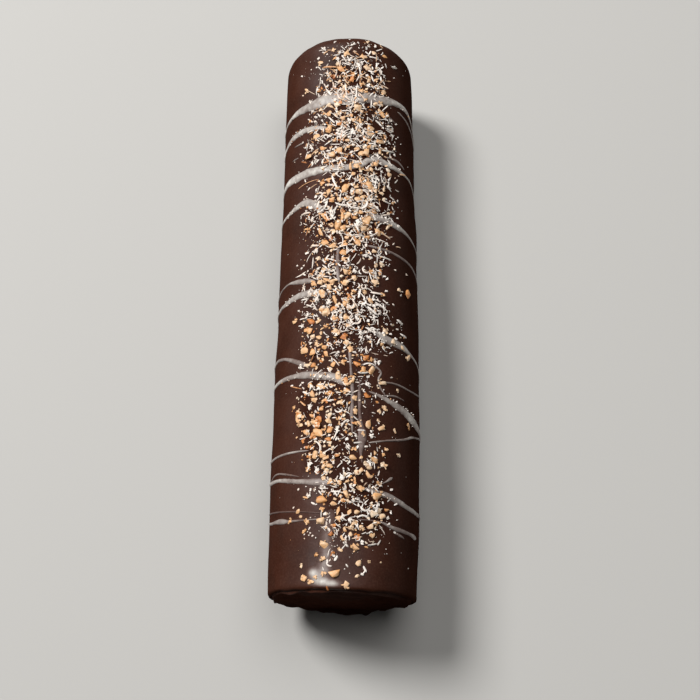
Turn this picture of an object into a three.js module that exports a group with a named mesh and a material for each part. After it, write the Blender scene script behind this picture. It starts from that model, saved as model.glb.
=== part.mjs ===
// A swiss roll coated whole in dark chocolate: one log of rolled sponge whose coat
// runs over both ends and sets in a low foot where the roll rests.
// Millimetres. X is across the roll, Y runs from its front end to its back end, Z is up.
// The origin is at the middle of the base.

import * as THREE from "three";

// Driving dimensions.
const rollLength = 278; // between the flats of the two ends
const rollWidth = 67.6;
const rollHeight = 63.8;
const sidewaysBow = 1.1; // how far the middle of the roll lies out of line
const frontEdgeRadius = 1.2; // the coat's turn from the side onto the front end
const backEdgeRadius = 7;
const frontSlant = 0.045; // the front end is cut a little askew: how far forward for each mm across
const slantStart = 105; // from here to the front end the skin leans over into the slant

// The girth changes along the roll: full in front of the middle, slimmer at both ends.
const belly = { growth: 0.5, centre: -78, spread: 24 };
const frontTaper = { loss: 1.2, start: 102, end: 142 };
const backTaper = { loss: 1, start: 40, end: 66 };

// The log settles a little, so its height is less than its width.
const roundRadius = rollWidth / 2;
const axisHeight = rollHeight - roundRadius;
const heelSharpness = 40; // how tightly the round side turns into the flat base
const restBand = 0.12; // what comes this near to the plate lies flat on it

// The foot is coat that ran down and set against the plate.
// Its reach ripples along the roll, and angle and spread are in degrees from the top.
const foot = { reach: 1.6, ripple: 0.45, rippleLength: 31, angle: 147, spread: 6.5, rise: 2 };

// Slow unevenness of the sponge under the coat: height, length along, and waves round.
const swell = { height: 0.25, length: 118, waves: 2, phase: 0 };
const dent = { height: 0.12, length: 47, waves: -3, phase: 1.7 };

// What shows of the roll's make on its coated ends.
// The turns of sponge raise a faint spiral, which dies out near the rim and the middle.
const spiral = { turn: 8.5, ridge: 0.4, rimGap: [4, 8], middleGap: [1, 6] };
const groove = { depth: 0.45, inset: 0.4, width: 0.45 }; // where side and end coat meet
const lip = { height: 0.7, inset: 1.5, width: 0.7, slant: 0.02 }; // the coat's raised rim
const endBulge = 0.9;

// How finely the skin is divided.
const sideStep = 7.5; // degrees
const footStep = 3.5; // degrees
const straightRings = 36;
const edgeRings = 5;
const endRings = { count: 15, crowding: 1.6 }; // closer together towards the rim

const fullTurn = 2 * Math.PI;
const quarterTurn = Math.PI / 2;
const { degToRad, smoothstep } = THREE.MathUtils;

// A smooth hump of height 1 at centre.
function hump(value, centre, width) {
  return Math.exp(-(((value - centre) / width) ** 2));
}

// The angles round a section, from 0 at the top: even on the round side, finer at the foot.
function sectionAngles() {
  const footStart = foot.angle - 2 * foot.spread;
  const footEnd = foot.angle + 2 * foot.spread;
  const half = [];
  for (let a = sideStep; a < footStart; a += sideStep) half.push(a);
  for (let a = footStart; a < footEnd; a += footStep) half.push(a);
  half.push(footEnd, (footEnd + 180) / 2);
  return [0, ...half, 180, ...half.map((a) => -a).reverse()];
}

function footReach(along) {
  return foot.reach + foot.ripple * Math.sin((fullTurn * along) / foot.rippleLength);
}

function wave(kind, along, angle) {
  return kind.height * Math.sin((fullTurn * along) / kind.length + kind.waves * angle + kind.phase);
}

function girthChange(along) {
  return (
    belly.growth * hump(along, belly.centre, belly.spread) -
    frontTaper.loss * smoothstep(-along, frontTaper.start, frontTaper.end) -
    backTaper.loss * smoothstep(along, backTaper.start, backTaper.end)
  );
}

// The distance from the roll's axis to its skin: round, but cut off by the plate below.
function skinRadius(along, degreesRound, inset) {
  const angle = degToRad(degreesRound);
  const footHump = footReach(along) * hump(Math.abs(degreesRound), foot.angle, foot.spread);
  const unevenness = wave(swell, along, angle) + wave(dent, along, angle);
  const round = roundRadius - inset + girthChange(along) + footHump + unevenness;
  const down = -Math.cos(angle);
  if (down <= 0) return round;
  const toPlate = axisHeight / down;
  return (round ** -heelSharpness + toPlate ** -heelSharpness) ** (-1 / heelSharpness);
}

function bowAt(along) {
  return sidewaysBow * (1 - (2 * along / rollLength) ** 2);
}

function skinPoint(along, degreesRound, inset) {
  const radius = skinRadius(along, degreesRound, inset);
  const angle = degToRad(degreesRound);
  const height = axisHeight + radius * Math.cos(angle);
  const settled = height < restBand ? 0 : height;
  const across = radius * Math.sin(angle);
  const lean = frontSlant * across * smoothstep(-along, slantStart, rollLength / 2);
  return new THREE.Vector3(bowAt(along) + across, along - lean, settled);
}

// The loops that turn the skin from an end flat onto the side. side is -1 in front, 1 behind.
function edgeLoops(side, edgeRadius, angles) {
  const loops = [];
  for (let i = 0; i < edgeRings; i++) {
    const turn = (i / edgeRings) * quarterTurn;
    const along = side * (rollLength / 2 - edgeRadius * (1 - Math.cos(turn)));
    const inset = edgeRadius * (1 - Math.sin(turn));
    loops.push(angles.map((a) => skinPoint(along, a, inset)));
  }
  return loops;
}

function straightLoops(angles) {
  const start = frontEdgeRadius - rollLength / 2;
  const length = rollLength - frontEdgeRadius - backEdgeRadius;
  const loops = [];
  for (let i = 0; i <= straightRings; i++) {
    const along = start + (length * i) / straightRings;
    loops.push(angles.map((a) => skinPoint(along, a, 0)));
  }
  return loops;
}

// How far an end stands out at a point that lies fromEdge inside its edge.
function endRelief(point, fromEdge, axisX) {
  const x = point.x - axisX;
  const z = point.z - axisHeight;
  const radius = Math.hypot(x, z);
  const turn = Math.atan2(z, x) / fullTurn;
  const fade = smoothstep(fromEdge, ...spiral.rimGap) * smoothstep(radius, ...spiral.middleGap);
  const ridge = spiral.ridge * fade * Math.cos(fullTurn * (radius / spiral.turn - turn));
  const crease = groove.depth * hump(fromEdge, groove.inset, groove.width);
  const rim = lip.height * hump(fromEdge, lip.inset + lip.slant * x, lip.width) - crease;
  const bulge = endBulge * smoothstep(fromEdge, 0, roundRadius);
  const footEdge = footReach(point.x) * hump(point.z, 0, foot.rise);
  return ridge + rim + bulge + footEdge;
}

// The loops that close an end, from just inside its edge towards its middle.
function endLoops(edge, side) {
  const middle = new THREE.Vector3(bowAt(edge[0].y), edge[0].y, axisHeight);
  const loops = [];
  for (let i = 1; i <= endRings.count; i++) {
    const share = (i / (endRings.count + 1)) ** endRings.crowding;
    loops.push(
      edge.map((corner) => {
        const point = corner.clone().lerp(middle, share);
        point.y += side * endRelief(point, corner.distanceTo(middle) * share, middle.x);
        return point;
      }),
    );
  }
  return loops;
}

function endMiddle(edge, side) {
  return new THREE.Vector3(bowAt(edge[0].y), edge[0].y + side * endBulge, axisHeight);
}

// Joins loops of equal size into one closed skin, with a point at each end.
function closedSkin(firstPoint, loops, lastPoint) {
  const around = loops[0].length;
  const points = [firstPoint, ...loops.flat(), lastPoint];
  const last = points.length - 1;
  const lastLoop = last - around;
  const faces = [];
  for (let j = 0; j < around; j++) {
    const next = (j + 1) % around;
    faces.push(0, 1 + next, 1 + j);
    for (let i = 0; i + 1 < loops.length; i++) {
      const near = 1 + i * around;
      const far = near + around;
      faces.push(near + j, near + next, far + j);
      faces.push(near + next, far + next, far + j);
    }
    faces.push(last, lastLoop + j, lastLoop + next);
  }
  const geometry = new THREE.BufferGeometry().setFromPoints(points);
  geometry.setIndex(faces);
  return geometry;
}

// Puts the middle of the geometry's base at the origin.
function centreOnBase(geometry) {
  geometry.computeBoundingBox();
  const { min, max } = geometry.boundingBox;
  geometry.translate(-(min.x + max.x) / 2, -(min.y + max.y) / 2, -min.z);
  geometry.computeVertexNormals();
  return geometry;
}

function rollGeometry() {
  const angles = sectionAngles();
  const front = edgeLoops(-1, frontEdgeRadius, angles);
  const back = edgeLoops(1, backEdgeRadius, angles);
  const loops = [
    ...endLoops(front[0], -1).reverse(),
    ...front,
    ...straightLoops(angles),
    ...back.reverse(),
    ...endLoops(back.at(-1), 1),
  ];
  return centreOnBase(closedSkin(endMiddle(front[0], -1), loops, endMiddle(back.at(-1), 1)));
}

function chocolateCoat() {
  return new THREE.MeshStandardMaterial({ color: 0x41261d, roughness: 0.45, metalness: 0 });
}

const roll = new THREE.Mesh(rollGeometry(), chocolateCoat());
roll.name = "chocolate_roll";

const swissRoll = new THREE.Group();
swissRoll.add(roll);

export default swissRoll;
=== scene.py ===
import math

import bmesh
import bpy
import numpy as np
from mathutils import Matrix, Vector


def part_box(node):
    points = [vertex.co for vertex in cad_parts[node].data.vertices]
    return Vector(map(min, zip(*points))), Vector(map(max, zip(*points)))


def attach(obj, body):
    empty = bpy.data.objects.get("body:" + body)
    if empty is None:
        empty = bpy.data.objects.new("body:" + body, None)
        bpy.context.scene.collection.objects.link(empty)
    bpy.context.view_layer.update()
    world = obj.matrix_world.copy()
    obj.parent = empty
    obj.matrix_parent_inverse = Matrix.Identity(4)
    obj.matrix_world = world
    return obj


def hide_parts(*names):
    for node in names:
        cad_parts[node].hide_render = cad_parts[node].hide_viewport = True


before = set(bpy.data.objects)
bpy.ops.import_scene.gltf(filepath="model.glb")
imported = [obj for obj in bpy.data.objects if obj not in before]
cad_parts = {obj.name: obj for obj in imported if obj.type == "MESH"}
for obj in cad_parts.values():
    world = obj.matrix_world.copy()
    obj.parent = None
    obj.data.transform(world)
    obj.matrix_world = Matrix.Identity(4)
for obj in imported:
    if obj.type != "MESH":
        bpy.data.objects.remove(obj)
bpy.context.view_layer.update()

# A chocolate-coated swiss roll with white drizzle, chopped nuts and coconut.
# Forms are in millimetres and degrees, as a cake is measured. Blender gets metres.
# A place on the roll is (degrees from the top, millimetres along the roll).

rollLow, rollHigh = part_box("chocolate_roll")
mm = 0.001
fullTurn = 2 * math.pi


# small helpers

def hump(value, centre, width):
    return np.exp(-(((value - centre) / width) ** 2))


def smoothStep(value, low, high):
    share = np.clip((value - low) / (high - low), 0, 1)
    return share * share * (3 - 2 * share)


def colourOf(hexCode):
    # the linear colour of a code such as "41261d", by the usual screen curve
    shown = [int(hexCode[i:i + 2], 16) / 255 for i in (0, 2, 4)]
    linear = [c / 12.92 if c <= 0.04045 else ((c + 0.055) / 1.055) ** 2.4 for c in shown]
    return (*linear, 1)


def ripples(value, kinds):
    # kinds = [(size, length, phase)]
    return sum(size * np.sin(value / length + phase) for size, length, phase in kinds)


def tubeFaces(rings, around):
    # rings of points joined one to the next, with a cap at both ends
    faces = []
    for i in range(rings - 1):
        for j in range(around):
            k = (j + 1) % around
            faces.append((i * around + j, i * around + k, (i + 1) * around + k, (i + 1) * around + j))
    faces.append(tuple(range(around))[::-1])
    faces.append(tuple((rings - 1) * around + j for j in range(around)))
    return faces


def addMark(mesh, name, values):
    # one value for each point, which the material reads
    mark = mesh.attributes.new(name, "FLOAT", "POINT")
    mark.data.foreach_set("value", np.asarray(values, np.float32))


def makePiece(name, points, faces, material, marks=None, smoothAngle=None):
    # points in millimetres on the roll's own frame, marks = {attribute name: one value a point}
    mesh = bpy.data.meshes.new(name)
    mesh.from_pydata((points * mm).tolist(), [], faces)
    mesh.shade_smooth()
    if smoothAngle is not None:
        mesh.set_sharp_from_angle(angle=math.radians(smoothAngle))
    for markName, values in (marks or {}).items():
        addMark(mesh, markName, values)
    mesh.materials.append(material)
    piece = bpy.data.objects.new(name, mesh)
    bpy.context.scene.collection.objects.link(piece)
    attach(piece, "root")
    triangles = sum(len(face) - 2 for face in faces)
    print(f"{name}: {len(points)} points, {triangles} triangles")
    return piece


# the roll's own form, the same log as the CAD solid

roll = {
    "length": 278,
    "width": 67.6,
    "height": 63.8,
    "bow": 1.1,  # how far its middle lies out of line
    "frontEdge": 1.2,  # radius of the turn onto each end
    "backEdge": 7,
    "frontSlant": 0.045,  # how far forward the front end leans for each millimetre across
    "slantStart": 105,
    # how far its right and its lower half lean back from that, and how softly
    "frontFold": {"rightBack": 0.03, "lowBack": 0.03, "lowFrom": (-5, 20), "softness": 10},
    "belly": {"growth": 0.5, "centre": -78, "spread": 24},
    "frontTaper": {"loss": 1.2, "start": 102, "end": 142},
    "backTaper": {"loss": 1, "start": 40, "end": 66},
    "heelSharpness": 40,  # how tightly the side turns into the flat base
    "restBand": 0.12,  # points lower than this lie on the board
    # slow unevenness of the sponge under the coat
    "swell": {"height": 0.25, "length": 118, "waves": 2, "phase": 0},
    "dent": {"height": 0.12, "length": 47, "waves": -3, "phase": 1.7},
    # where the coat ran out at the bottom, the roll's turns, and the rim of an end
    "foot": {"reach": 1.6, "ripple": 0.45, "rippleLength": 31, "angle": 147, "spread": 6.5, "rise": 2},
    "spiral": {"turn": 8.5, "ridge": 0.4, "rimGap": (4, 8), "middleGap": (1, 6)},
    "groove": {"depth": 0.45, "inset": 0.4, "width": 0.45},
    "lip": {"height": 0.7, "inset": 1.5, "width": 0.7, "slant": 0.02},
    "endBulge": 0.9,  # how far the middle of an end stands out
}
roundRadius = roll["width"] / 2
axisHeight = roll["height"] - roundRadius
halfLength = roll["length"] / 2

# the hand-made look of the coat: many shallow waves, seeded
coatLook = {
    "seed": 11,
    "waves": 24,
    "height": 0.02,  # of each wave
    "lengths": (24, 75),
    "mostRound": 6,  # waves round the roll
    "footSeed": 5,
    "footRagged": 0.55,
    "footLobes": 9,
    "footLobeLengths": (7, 34),
    # how fine the mesh is: degrees between points, then rings of them
    "sideStep": 2.0,
    "footStep": 1.0,
    "basePoints": 8,
    "rings": 262,
    "edgeRings": 12,
    "endRings": 44,
    "endCrowding": 1.6,  # how much the rings of an end crowd towards its edge
}


def lumpWaves(look):
    rng = np.random.default_rng(look["seed"])
    waves = []
    for _ in range(look["waves"]):
        length = rng.uniform(*look["lengths"]) * rng.choice([-1, 1])
        around = int(rng.integers(0, look["mostRound"]))
        waves.append((length, around, rng.uniform(0, fullTurn)))
    return waves


coatWaves = lumpWaves(coatLook)


def lumps(along, angle):
    total = np.zeros(np.broadcast(along, angle).shape)
    for length, around, phase in coatWaves:
        total += np.sin(fullTurn * along / length + around * angle + phase)
    return coatLook["height"] * total


def footReach(along):
    foot = roll["foot"]
    return foot["reach"] + foot["ripple"] * np.sin(fullTurn * along / foot["rippleLength"])


def wave(kind, along, angle):
    return kind["height"] * np.sin(fullTurn * along / kind["length"] + kind["waves"] * angle + kind["phase"])


def bowAt(along):
    return roll["bow"] * (1 - (2 * along / roll["length"]) ** 2)


def edgeInset(along):
    # how much the rounded edges take off the radius, towards both ends
    inset = np.zeros(np.shape(along))
    for side, radius in ((-1, roll["frontEdge"]), (1, roll["backEdge"])):
        left = np.clip(halfLength - side * np.asarray(along), 0, radius)
        inset += radius * (1 - np.sqrt(1 - (1 - left / radius) ** 2))
    return inset


def girthChange(along):
    belly, front, back = roll["belly"], roll["frontTaper"], roll["backTaper"]
    change = belly["growth"] * hump(along, belly["centre"], belly["spread"])
    change = change - front["loss"] * smoothStep(-along, front["start"], front["end"])
    return change - back["loss"] * smoothStep(along, back["start"], back["end"])


def skinRadius(along, degrees, inset):
    foot = roll["foot"]
    angle = np.radians(degrees)
    ragged = 1 + coatLook["footRagged"] * footNoise(along, degrees)
    footHump = footReach(along) * ragged * hump(np.abs(degrees), foot["angle"], foot["spread"])
    radius = roundRadius - inset + girthChange(along) + footHump + lumps(along, angle)
    radius += wave(roll["swell"], along, angle) + wave(roll["dent"], along, angle)
    down = -np.cos(angle)
    toPlate = axisHeight / np.maximum(down, 1e-3)  # the least keeps it from dividing by nothing
    sharp = roll["heelSharpness"]
    cut = (radius ** -sharp + toPlate ** -sharp) ** (-1 / sharp)
    return np.where(down > 0, cut, radius)


def footNoise(along, degrees):
    # uneven lobes where the coat ran down and set, one sum of waves on each side
    rng = np.random.default_rng(coatLook["footSeed"])
    total = np.zeros(np.broadcast(along, degrees).shape)
    for _ in range(coatLook["footLobes"]):
        length = rng.uniform(*coatLook["footLobeLengths"])
        left, right = rng.uniform(0, fullTurn, 2)
        total += np.sin(fullTurn * along / length + np.where(np.asarray(degrees) < 0, left, right))
    return total / math.sqrt(2 * coatLook["footLobes"])


def skinPoint(along, degrees, inset=None, lift=0):
    # the point of the coat there, lift above it
    along, degrees = np.broadcast_arrays(np.asarray(along, float), np.asarray(degrees, float))
    if inset is None:
        inset = edgeInset(along)
    radius = skinRadius(along, degrees, inset) + lift
    angle = np.radians(degrees)
    height = axisHeight + radius * np.cos(angle)
    height = np.where(height < roll["restBand"], 0, height)
    across = radius * np.sin(angle)
    fold = roll["frontFold"]
    low = smoothStep(axisHeight - height, *fold["lowFrom"])
    onRight = (across + np.hypot(across, fold["softness"])) / 2
    lean = roll["frontSlant"] * across - (fold["rightBack"] + fold["lowBack"] * low) * onRight
    lean = lean * smoothStep(-along, roll["slantStart"], halfLength)
    return np.stack([bowAt(along) + across, along - lean, height], axis=-1)


# chocolate coat

def sectionDegrees():
    # where the points of a ring lie, closer together at the foot
    foot = roll["foot"]
    footStart = foot["angle"] - 2 * foot["spread"]
    footEnd = foot["angle"] + 2 * foot["spread"]
    half = list(np.arange(coatLook["sideStep"], footStart, coatLook["sideStep"]))
    half += list(np.arange(footStart, footEnd, coatLook["footStep"]))
    half += list(np.linspace(footEnd, 180, coatLook["basePoints"])[:-1])
    return np.array([0, *half, 180, *[-a for a in reversed(half)]])


endLook = {
    "creaseDeeper": 0.6,  # the groove is sharper than the CAD one
    "creaseWidth": 0.34,
    "lipSeed": 70,
    "lipWaves": (4, 22),  # the counts of waves round an end that make it uneven
    "lipWaveShare": 3,
    "lipMore": 0.12,  # how much further the lip stands out than the CAD one
    "lipUneven": 0.45,
    "rimSeed": 73,
    "rimUneven": 0.28,
    "lipLine": 0.35,  # a sharper line of coat on the lip
    "lipLineWidth": 0.3,
    "lipLineInset": 0.3,
    "lipWander": ((0.3, 3.1, -1), (0.21, 1.7, 2)),  # ripples: size, length, phase
    "strokeBend": ((1.0, 7, 0), (0.3, 2.7, 1)),
    "strokes": ((0.2, 1.3, 0), (0.12, 0.7, 0)),  # left by spreading the coat over an end
    "strokePatch": 15,
    "strokesFrom": (3, 7),
    # lumps at the foot of an end: place across, width, reach
    "nubs": [(-22, 2.2, 1.3), (-17, 3.4, 1.0), (-2, 2.0, 0.7), (11.5, 2.2, 1.4), (26, 1.6, 0.6)],
    "nubHeight": 0.6,
    "nubRise": 1.8,
    "endShadeFrom": (0.3, 3.2),  # painted shade: millimetres inside the edge over which the end coat turns darker
    "rimShadowDark": 0.95,  # painted shadow in the crease: how dark the coat is where it turns onto the front end
    "rimStarts": (3.5, 0.2),  # millimetres before the front end over which it turns dark
    "rimFades": (0.2, 0.9),  # and inside the edge over which it fades again
}


def lipLumps(x, z, seed):
    # how unevenly the coat gathered round an end, about -1 to 1
    rng = np.random.default_rng(seed)
    around = np.arctan2(x, z)
    total = np.zeros(np.shape(x))
    for count in range(*endLook["lipWaves"]):
        total += rng.normal() * np.sin(count * around + rng.uniform(0, fullTurn))
    return np.clip(total / endLook["lipWaveShare"], -1, 1)


def endRelief(points, fromEdge, axisX, side):
    # how far an end stands out, at points that lie fromEdge inside its edge
    spiral, lip = roll["spiral"], roll["lip"]
    x = points[:, 0] - axisX
    z = points[:, 2] - axisHeight
    radius = np.hypot(x, z)
    turn = np.arctan2(z, x) / fullTurn
    fade = smoothStep(fromEdge, *spiral["rimGap"]) * smoothStep(radius, *spiral["middleGap"])
    relief = spiral["ridge"] * fade * np.cos(fullTurn * (radius / spiral["turn"] - turn))
    groove = roll["groove"]
    inset = lip["inset"] + lip["slant"] * x
    lumpy = endLook["lipUneven"] * lipLumps(x, z, endLook["lipSeed"] + side)
    lipHeight = lip["height"] + endLook["lipMore"] + lumpy
    relief += lipHeight * hump(fromEdge, inset, lip["width"])
    relief -= groove["depth"] * hump(fromEdge, groove["inset"], groove["width"])
    relief -= endLook["creaseDeeper"] * hump(fromEdge, groove["inset"], endLook["creaseWidth"])
    line = inset + endLook["lipLineInset"] + ripples(x + z, endLook["lipWander"])
    relief += endLook["lipLine"] * hump(fromEdge, line, endLook["lipLineWidth"])
    relief += roll["endBulge"] * smoothStep(fromEdge, 0, roundRadius)
    footEdge = footReach(points[:, 0]) * hump(points[:, 2], 0, roll["foot"]["rise"])
    for place, width, reach in endLook["nubs"]:
        low = hump(points[:, 2], endLook["nubHeight"], endLook["nubRise"])
        footEdge = footEdge + reach * hump(points[:, 0], place, width) * low
    strokes = ripples(z + ripples(x, endLook["strokeBend"]), endLook["strokes"])
    patches = np.sin((x + z) / endLook["strokePatch"])
    return relief + footEdge + strokes * patches * smoothStep(fromEdge, *endLook["strokesFrom"])


def endSteps(edge):
    # the middle of an end, how far from it the edge lies, and how far in each ring lies, as a share
    middle = np.array([bowAt(edge[0][1]), edge[0][1], axisHeight])
    reach = np.linalg.norm(edge - middle, axis=1)
    count = coatLook["endRings"]
    return middle, reach, [(i / (count + 1)) ** coatLook["endCrowding"] for i in range(1, count + 1)]


def endLoops(edge, side):
    middle, reach, steps = endSteps(edge)
    loops = []
    for step in steps:
        loop = edge + (middle - edge) * step
        loop[:, 1] += side * endRelief(loop, reach * step, middle[0], side)
        loops.append(loop)
    return loops, middle + [0, side * roll["endBulge"], 0]


# painted shadow in the crease, on the rings just before the front end
def rimShadowShare(along):
    first, last = endLook["rimStarts"]
    return endLook["rimShadowDark"] * smoothStep(-along, halfLength - first, halfLength - last)


def endShadeShares(edge, side):
    # 0 at an end's edge, 1 inside it, for each loop of endLoops: painted shade on the ends. The front rim is
    # dark as well, a painted shadow in its crease
    middle, reach, steps = endSteps(edge)
    rimShadowDark = endLook["rimShadowDark"] if side < 0 else 0
    shares = []
    for step in steps:
        rim = rimShadowDark * (1 - smoothStep(reach * step, *endLook["rimFades"]))
        shares.append(np.maximum(rim, smoothStep(reach * step, *endLook["endShadeFrom"])))
    return shares


def edgeLoops(side, edgeRadius, degrees):
    # the rounded turn onto an end, from its edge outwards
    loops = []
    for i in range(coatLook["edgeRings"]):
        turn = i / coatLook["edgeRings"] * math.pi / 2
        along = side * (halfLength - edgeRadius * (1 - math.cos(turn)))
        loop = skinPoint(along, degrees, edgeRadius * (1 - math.sin(turn)))
        uneven = lipLumps(loop[:, 0], loop[:, 2] - axisHeight, endLook["rimSeed"] + side)
        loop[:, 1] += side * endLook["rimUneven"] * math.cos(turn) * uneven
        loops.append(loop)
    return loops


def coatPoints():
    # all points from the middle of the front end to that of the back end, and their "end" mark of painted
    # shade
    degrees = sectionDegrees()
    front = edgeLoops(-1, roll["frontEdge"], degrees)
    back = edgeLoops(1, roll["backEdge"], degrees)
    frontEnd, frontPole = endLoops(front[0], -1)
    backEnd, backPole = endLoops(back[0], 1)
    start = roll["frontEdge"] - halfLength
    stop = halfLength - roll["backEdge"]
    straight = [skinPoint(along, degrees, 0.0) for along in np.linspace(start, stop, coatLook["rings"])]
    loops = [*frontEnd[::-1], *front, *straight, *back[::-1], *backEnd]
    endShadeMark = [np.ones(1), *endShadeShares(front[0], -1)[::-1]]
    endShadeMark += [np.full(len(degrees), rimShadowShare(loop[:, 1].mean())) for loop in (*front, *straight, *back)]
    endShadeMark += [*endShadeShares(back[0], 1), np.ones(1)]
    points = np.concatenate([[frontPole], *loops, [backPole]])
    return points, len(loops), len(degrees), np.concatenate(endShadeMark)


def skinFaces(loopCount, around):
    # a fan at both ends, squares between the loops
    last = loopCount * around + 1
    faces = []
    for j in range(around):
        following = (j + 1) % around
        faces.append((0, 1 + following, 1 + j))
        faces.append((last, last - around + j, last - around + following))
    for i in range(loopCount - 1):
        near = 1 + i * around
        for j in range(around):
            following = (j + 1) % around
            faces.append((near + j, near + following, near + around + following, near + around + j))
    return faces


# parts of the materials

noiseSpan = (0.3, 0.7)  # where nearly all values of a noise lie


def noiseNode(nodes, links, coordinates, size, detail=3, roughness=0.5):
    # noise with blotches of about size millimetres
    texture = nodes.new("ShaderNodeTexNoise")
    texture.inputs["Scale"].default_value = 1 / (size * mm)
    texture.inputs["Detail"].default_value = detail
    texture.inputs["Roughness"].default_value = roughness
    links.new(coordinates, texture.inputs["Vector"])
    return texture.outputs["Fac"]


def tintNode(nodes, links, value, tints):
    # tints = [(position, colour code)]
    ramp = nodes.new("ShaderNodeValToRGB")
    elements = ramp.color_ramp.elements
    while len(elements) < len(tints):
        elements.new(0.5)
    for element, (position, code) in zip(elements, tints):
        element.position = position
        element.color = colourOf(code)
    links.new(value, ramp.inputs["Fac"])
    return ramp.outputs["Color"]


def rangeNode(nodes, links, value, low, high):
    # stretches a noise over low to high
    spread = nodes.new("ShaderNodeMapRange")
    spread.inputs["From Min"].default_value = noiseSpan[0]
    spread.inputs["From Max"].default_value = noiseSpan[1]
    spread.inputs["To Min"].default_value = low
    spread.inputs["To Max"].default_value = high
    links.new(value, spread.inputs["Value"])
    return spread.outputs["Result"]


def mathNode(nodes, links, operation, first, second):
    # first and second are numbers or sockets
    node = nodes.new("ShaderNodeMath")
    node.operation = operation
    for socket, value in zip(node.inputs, (first, second)):
        if isinstance(value, bpy.types.NodeSocket):
            links.new(value, socket)
        else:
            socket.default_value = value
    return node.outputs[0]


def mixNode(nodes, links, share, first, code):
    # from the first socket's colour towards the colour of a code
    mix = nodes.new("ShaderNodeMix")
    mix.data_type = "RGBA"
    links.new(share, mix.inputs[0])
    links.new(first, mix.inputs[6])  # 6 and 7 are its two colours
    mix.inputs[7].default_value = colourOf(code)
    return mix.outputs[2]


def bumpNode(nodes, links, height, depth, under=None):
    # depth in millimetres
    bump = nodes.new("ShaderNodeBump")
    bump.inputs["Strength"].default_value = 1.0
    bump.inputs["Distance"].default_value = depth * mm
    links.new(height, bump.inputs["Height"])
    if under:
        links.new(under, bump.inputs["Normal"])
    return bump.outputs["Normal"]


def newMaterial(name):
    # the material, its nodes and links, its shader, and a place in the piece's own frame
    material = bpy.data.materials.new(name)
    material.use_nodes = True
    tree = material.node_tree
    place = tree.nodes.new("ShaderNodeTexCoord").outputs["Object"]
    return material, tree.nodes, tree.links, tree.nodes["Principled BSDF"], place


def markNode(nodes, name):
    # a mark of addMark
    mark = nodes.new("ShaderNodeAttribute")
    mark.attribute_name = name
    return mark.outputs["Fac"]


chocolate = {
    "clouds": {"size": 16, "detail": 5, "roughness": 0.6},
    "tints": ((0.3, "30180f"), (0.5, "371b11"), (0.72, "3f2116")),  # over the clouds
    "specks": {"size": 0.8, "detail": 2},
    "speckShare": (-0.15, 0.3),
    "speckTint": "4f352a",
    "shine": {"size": 7, "detail": 4},
    "roughness": (0.42, 0.52),
    "gloss": 0.0,
    "slowBump": {"size": 9},
    "slowDepth": 0.25,
    "fineBump": {"size": 0.5},
    "fineDepth": 0.012,
    # a thin satin film on the matt chocolate, patchy
    "patches": {"size": 11, "detail": 4},
    "filmWeight": (0.12, 0.2),
    "filmRoughness": 0.48,
    "filmIor": 2.0,
    "filmFades": (40, 62),  # degrees down the sides over which it gets thinner
    "filmLost": 0.75,
    "middleLost": 0.5,  # of that loss in the middle of the ends
    # painted shade on the ends: how much darker the chocolate and duller the film is there
    "endShadeDepth": 0.75,
    "endDull": 0.8,
    "endShadeTint": "2e170e",
    # painted shadow under the toppings, where the film is duller too
    "toppingShadowDepth": 0.38,
    "coveredDull": 0.9,
    "coveredWeight": 0.8,  # how soon the toppings count as thick
    # and painted shade down the right side, where the film is duller too
    "sideShadeDepth": 0.4,
    "sideDull": 0.6,
    "sideFrom": (10, 62),  # degrees
    "sideTo": (110, 178),
    "outer": 26,  # millimetres from the axis at which it is full
    "darkest": "160b07",  # the colour both painted shades darken towards
}


def darkChocolate():
    material, nodes, links, shader, place = newMaterial("dark chocolate")
    marks = {name: markNode(nodes, name) for name in ("covered", "side", "end", "bloom")}
    tint = tintNode(nodes, links, noiseNode(nodes, links, place, **chocolate["clouds"]), chocolate["tints"])
    specks = noiseNode(nodes, links, place, **chocolate["specks"])
    specks = rangeNode(nodes, links, specks, *chocolate["speckShare"])
    tint = mixNode(nodes, links, specks, tint, chocolate["speckTint"])
    # painted shade: the ends, the coat under the toppings and the right side are darkened
    endShade = mathNode(nodes, links, "MULTIPLY", marks["end"], chocolate["endShadeDepth"])
    tint = mixNode(nodes, links, endShade, tint, chocolate["endShadeTint"])
    covered = mathNode(nodes, links, "MULTIPLY", marks["covered"], chocolate["toppingShadowDepth"])
    sideShade = mathNode(nodes, links, "MULTIPLY", marks["side"], chocolate["sideShadeDepth"])
    shaded = mathNode(nodes, links, "ADD", covered, sideShade)
    tint = mixNode(nodes, links, shaded, tint, chocolate["darkest"])
    links.new(tint, shader.inputs["Base Color"])
    shine = noiseNode(nodes, links, place, **chocolate["shine"])
    links.new(rangeNode(nodes, links, shine, *chocolate["roughness"]), shader.inputs["Roughness"])
    shader.inputs["Specular IOR Level"].default_value = chocolate["gloss"]
    slow = noiseNode(nodes, links, place, **chocolate["slowBump"])
    fine = noiseNode(nodes, links, place, **chocolate["fineBump"])
    normal = bumpNode(nodes, links, slow, chocolate["slowDepth"])
    normal = bumpNode(nodes, links, fine, chocolate["fineDepth"], normal)
    links.new(normal, shader.inputs["Normal"])
    film = noiseNode(nodes, links, place, **chocolate["patches"])
    film = rangeNode(nodes, links, film, *chocolate["filmWeight"])
    film = mathNode(nodes, links, "MULTIPLY", film, marks["bloom"])
    for name in ("covered", "side", "end"):
        dulling = mathNode(nodes, links, "MULTIPLY", marks[name], chocolate[name + "Dull"])
        film = mathNode(nodes, links, "MULTIPLY", film, mathNode(nodes, links, "SUBTRACT", 1.0, dulling))
    links.new(film, shader.inputs["Coat Weight"])
    shader.inputs["Coat Roughness"].default_value = chocolate["filmRoughness"]
    shader.inputs["Coat IOR"].default_value = chocolate["filmIor"]
    links.new(normal, shader.inputs["Coat Normal"])
    return material


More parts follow.
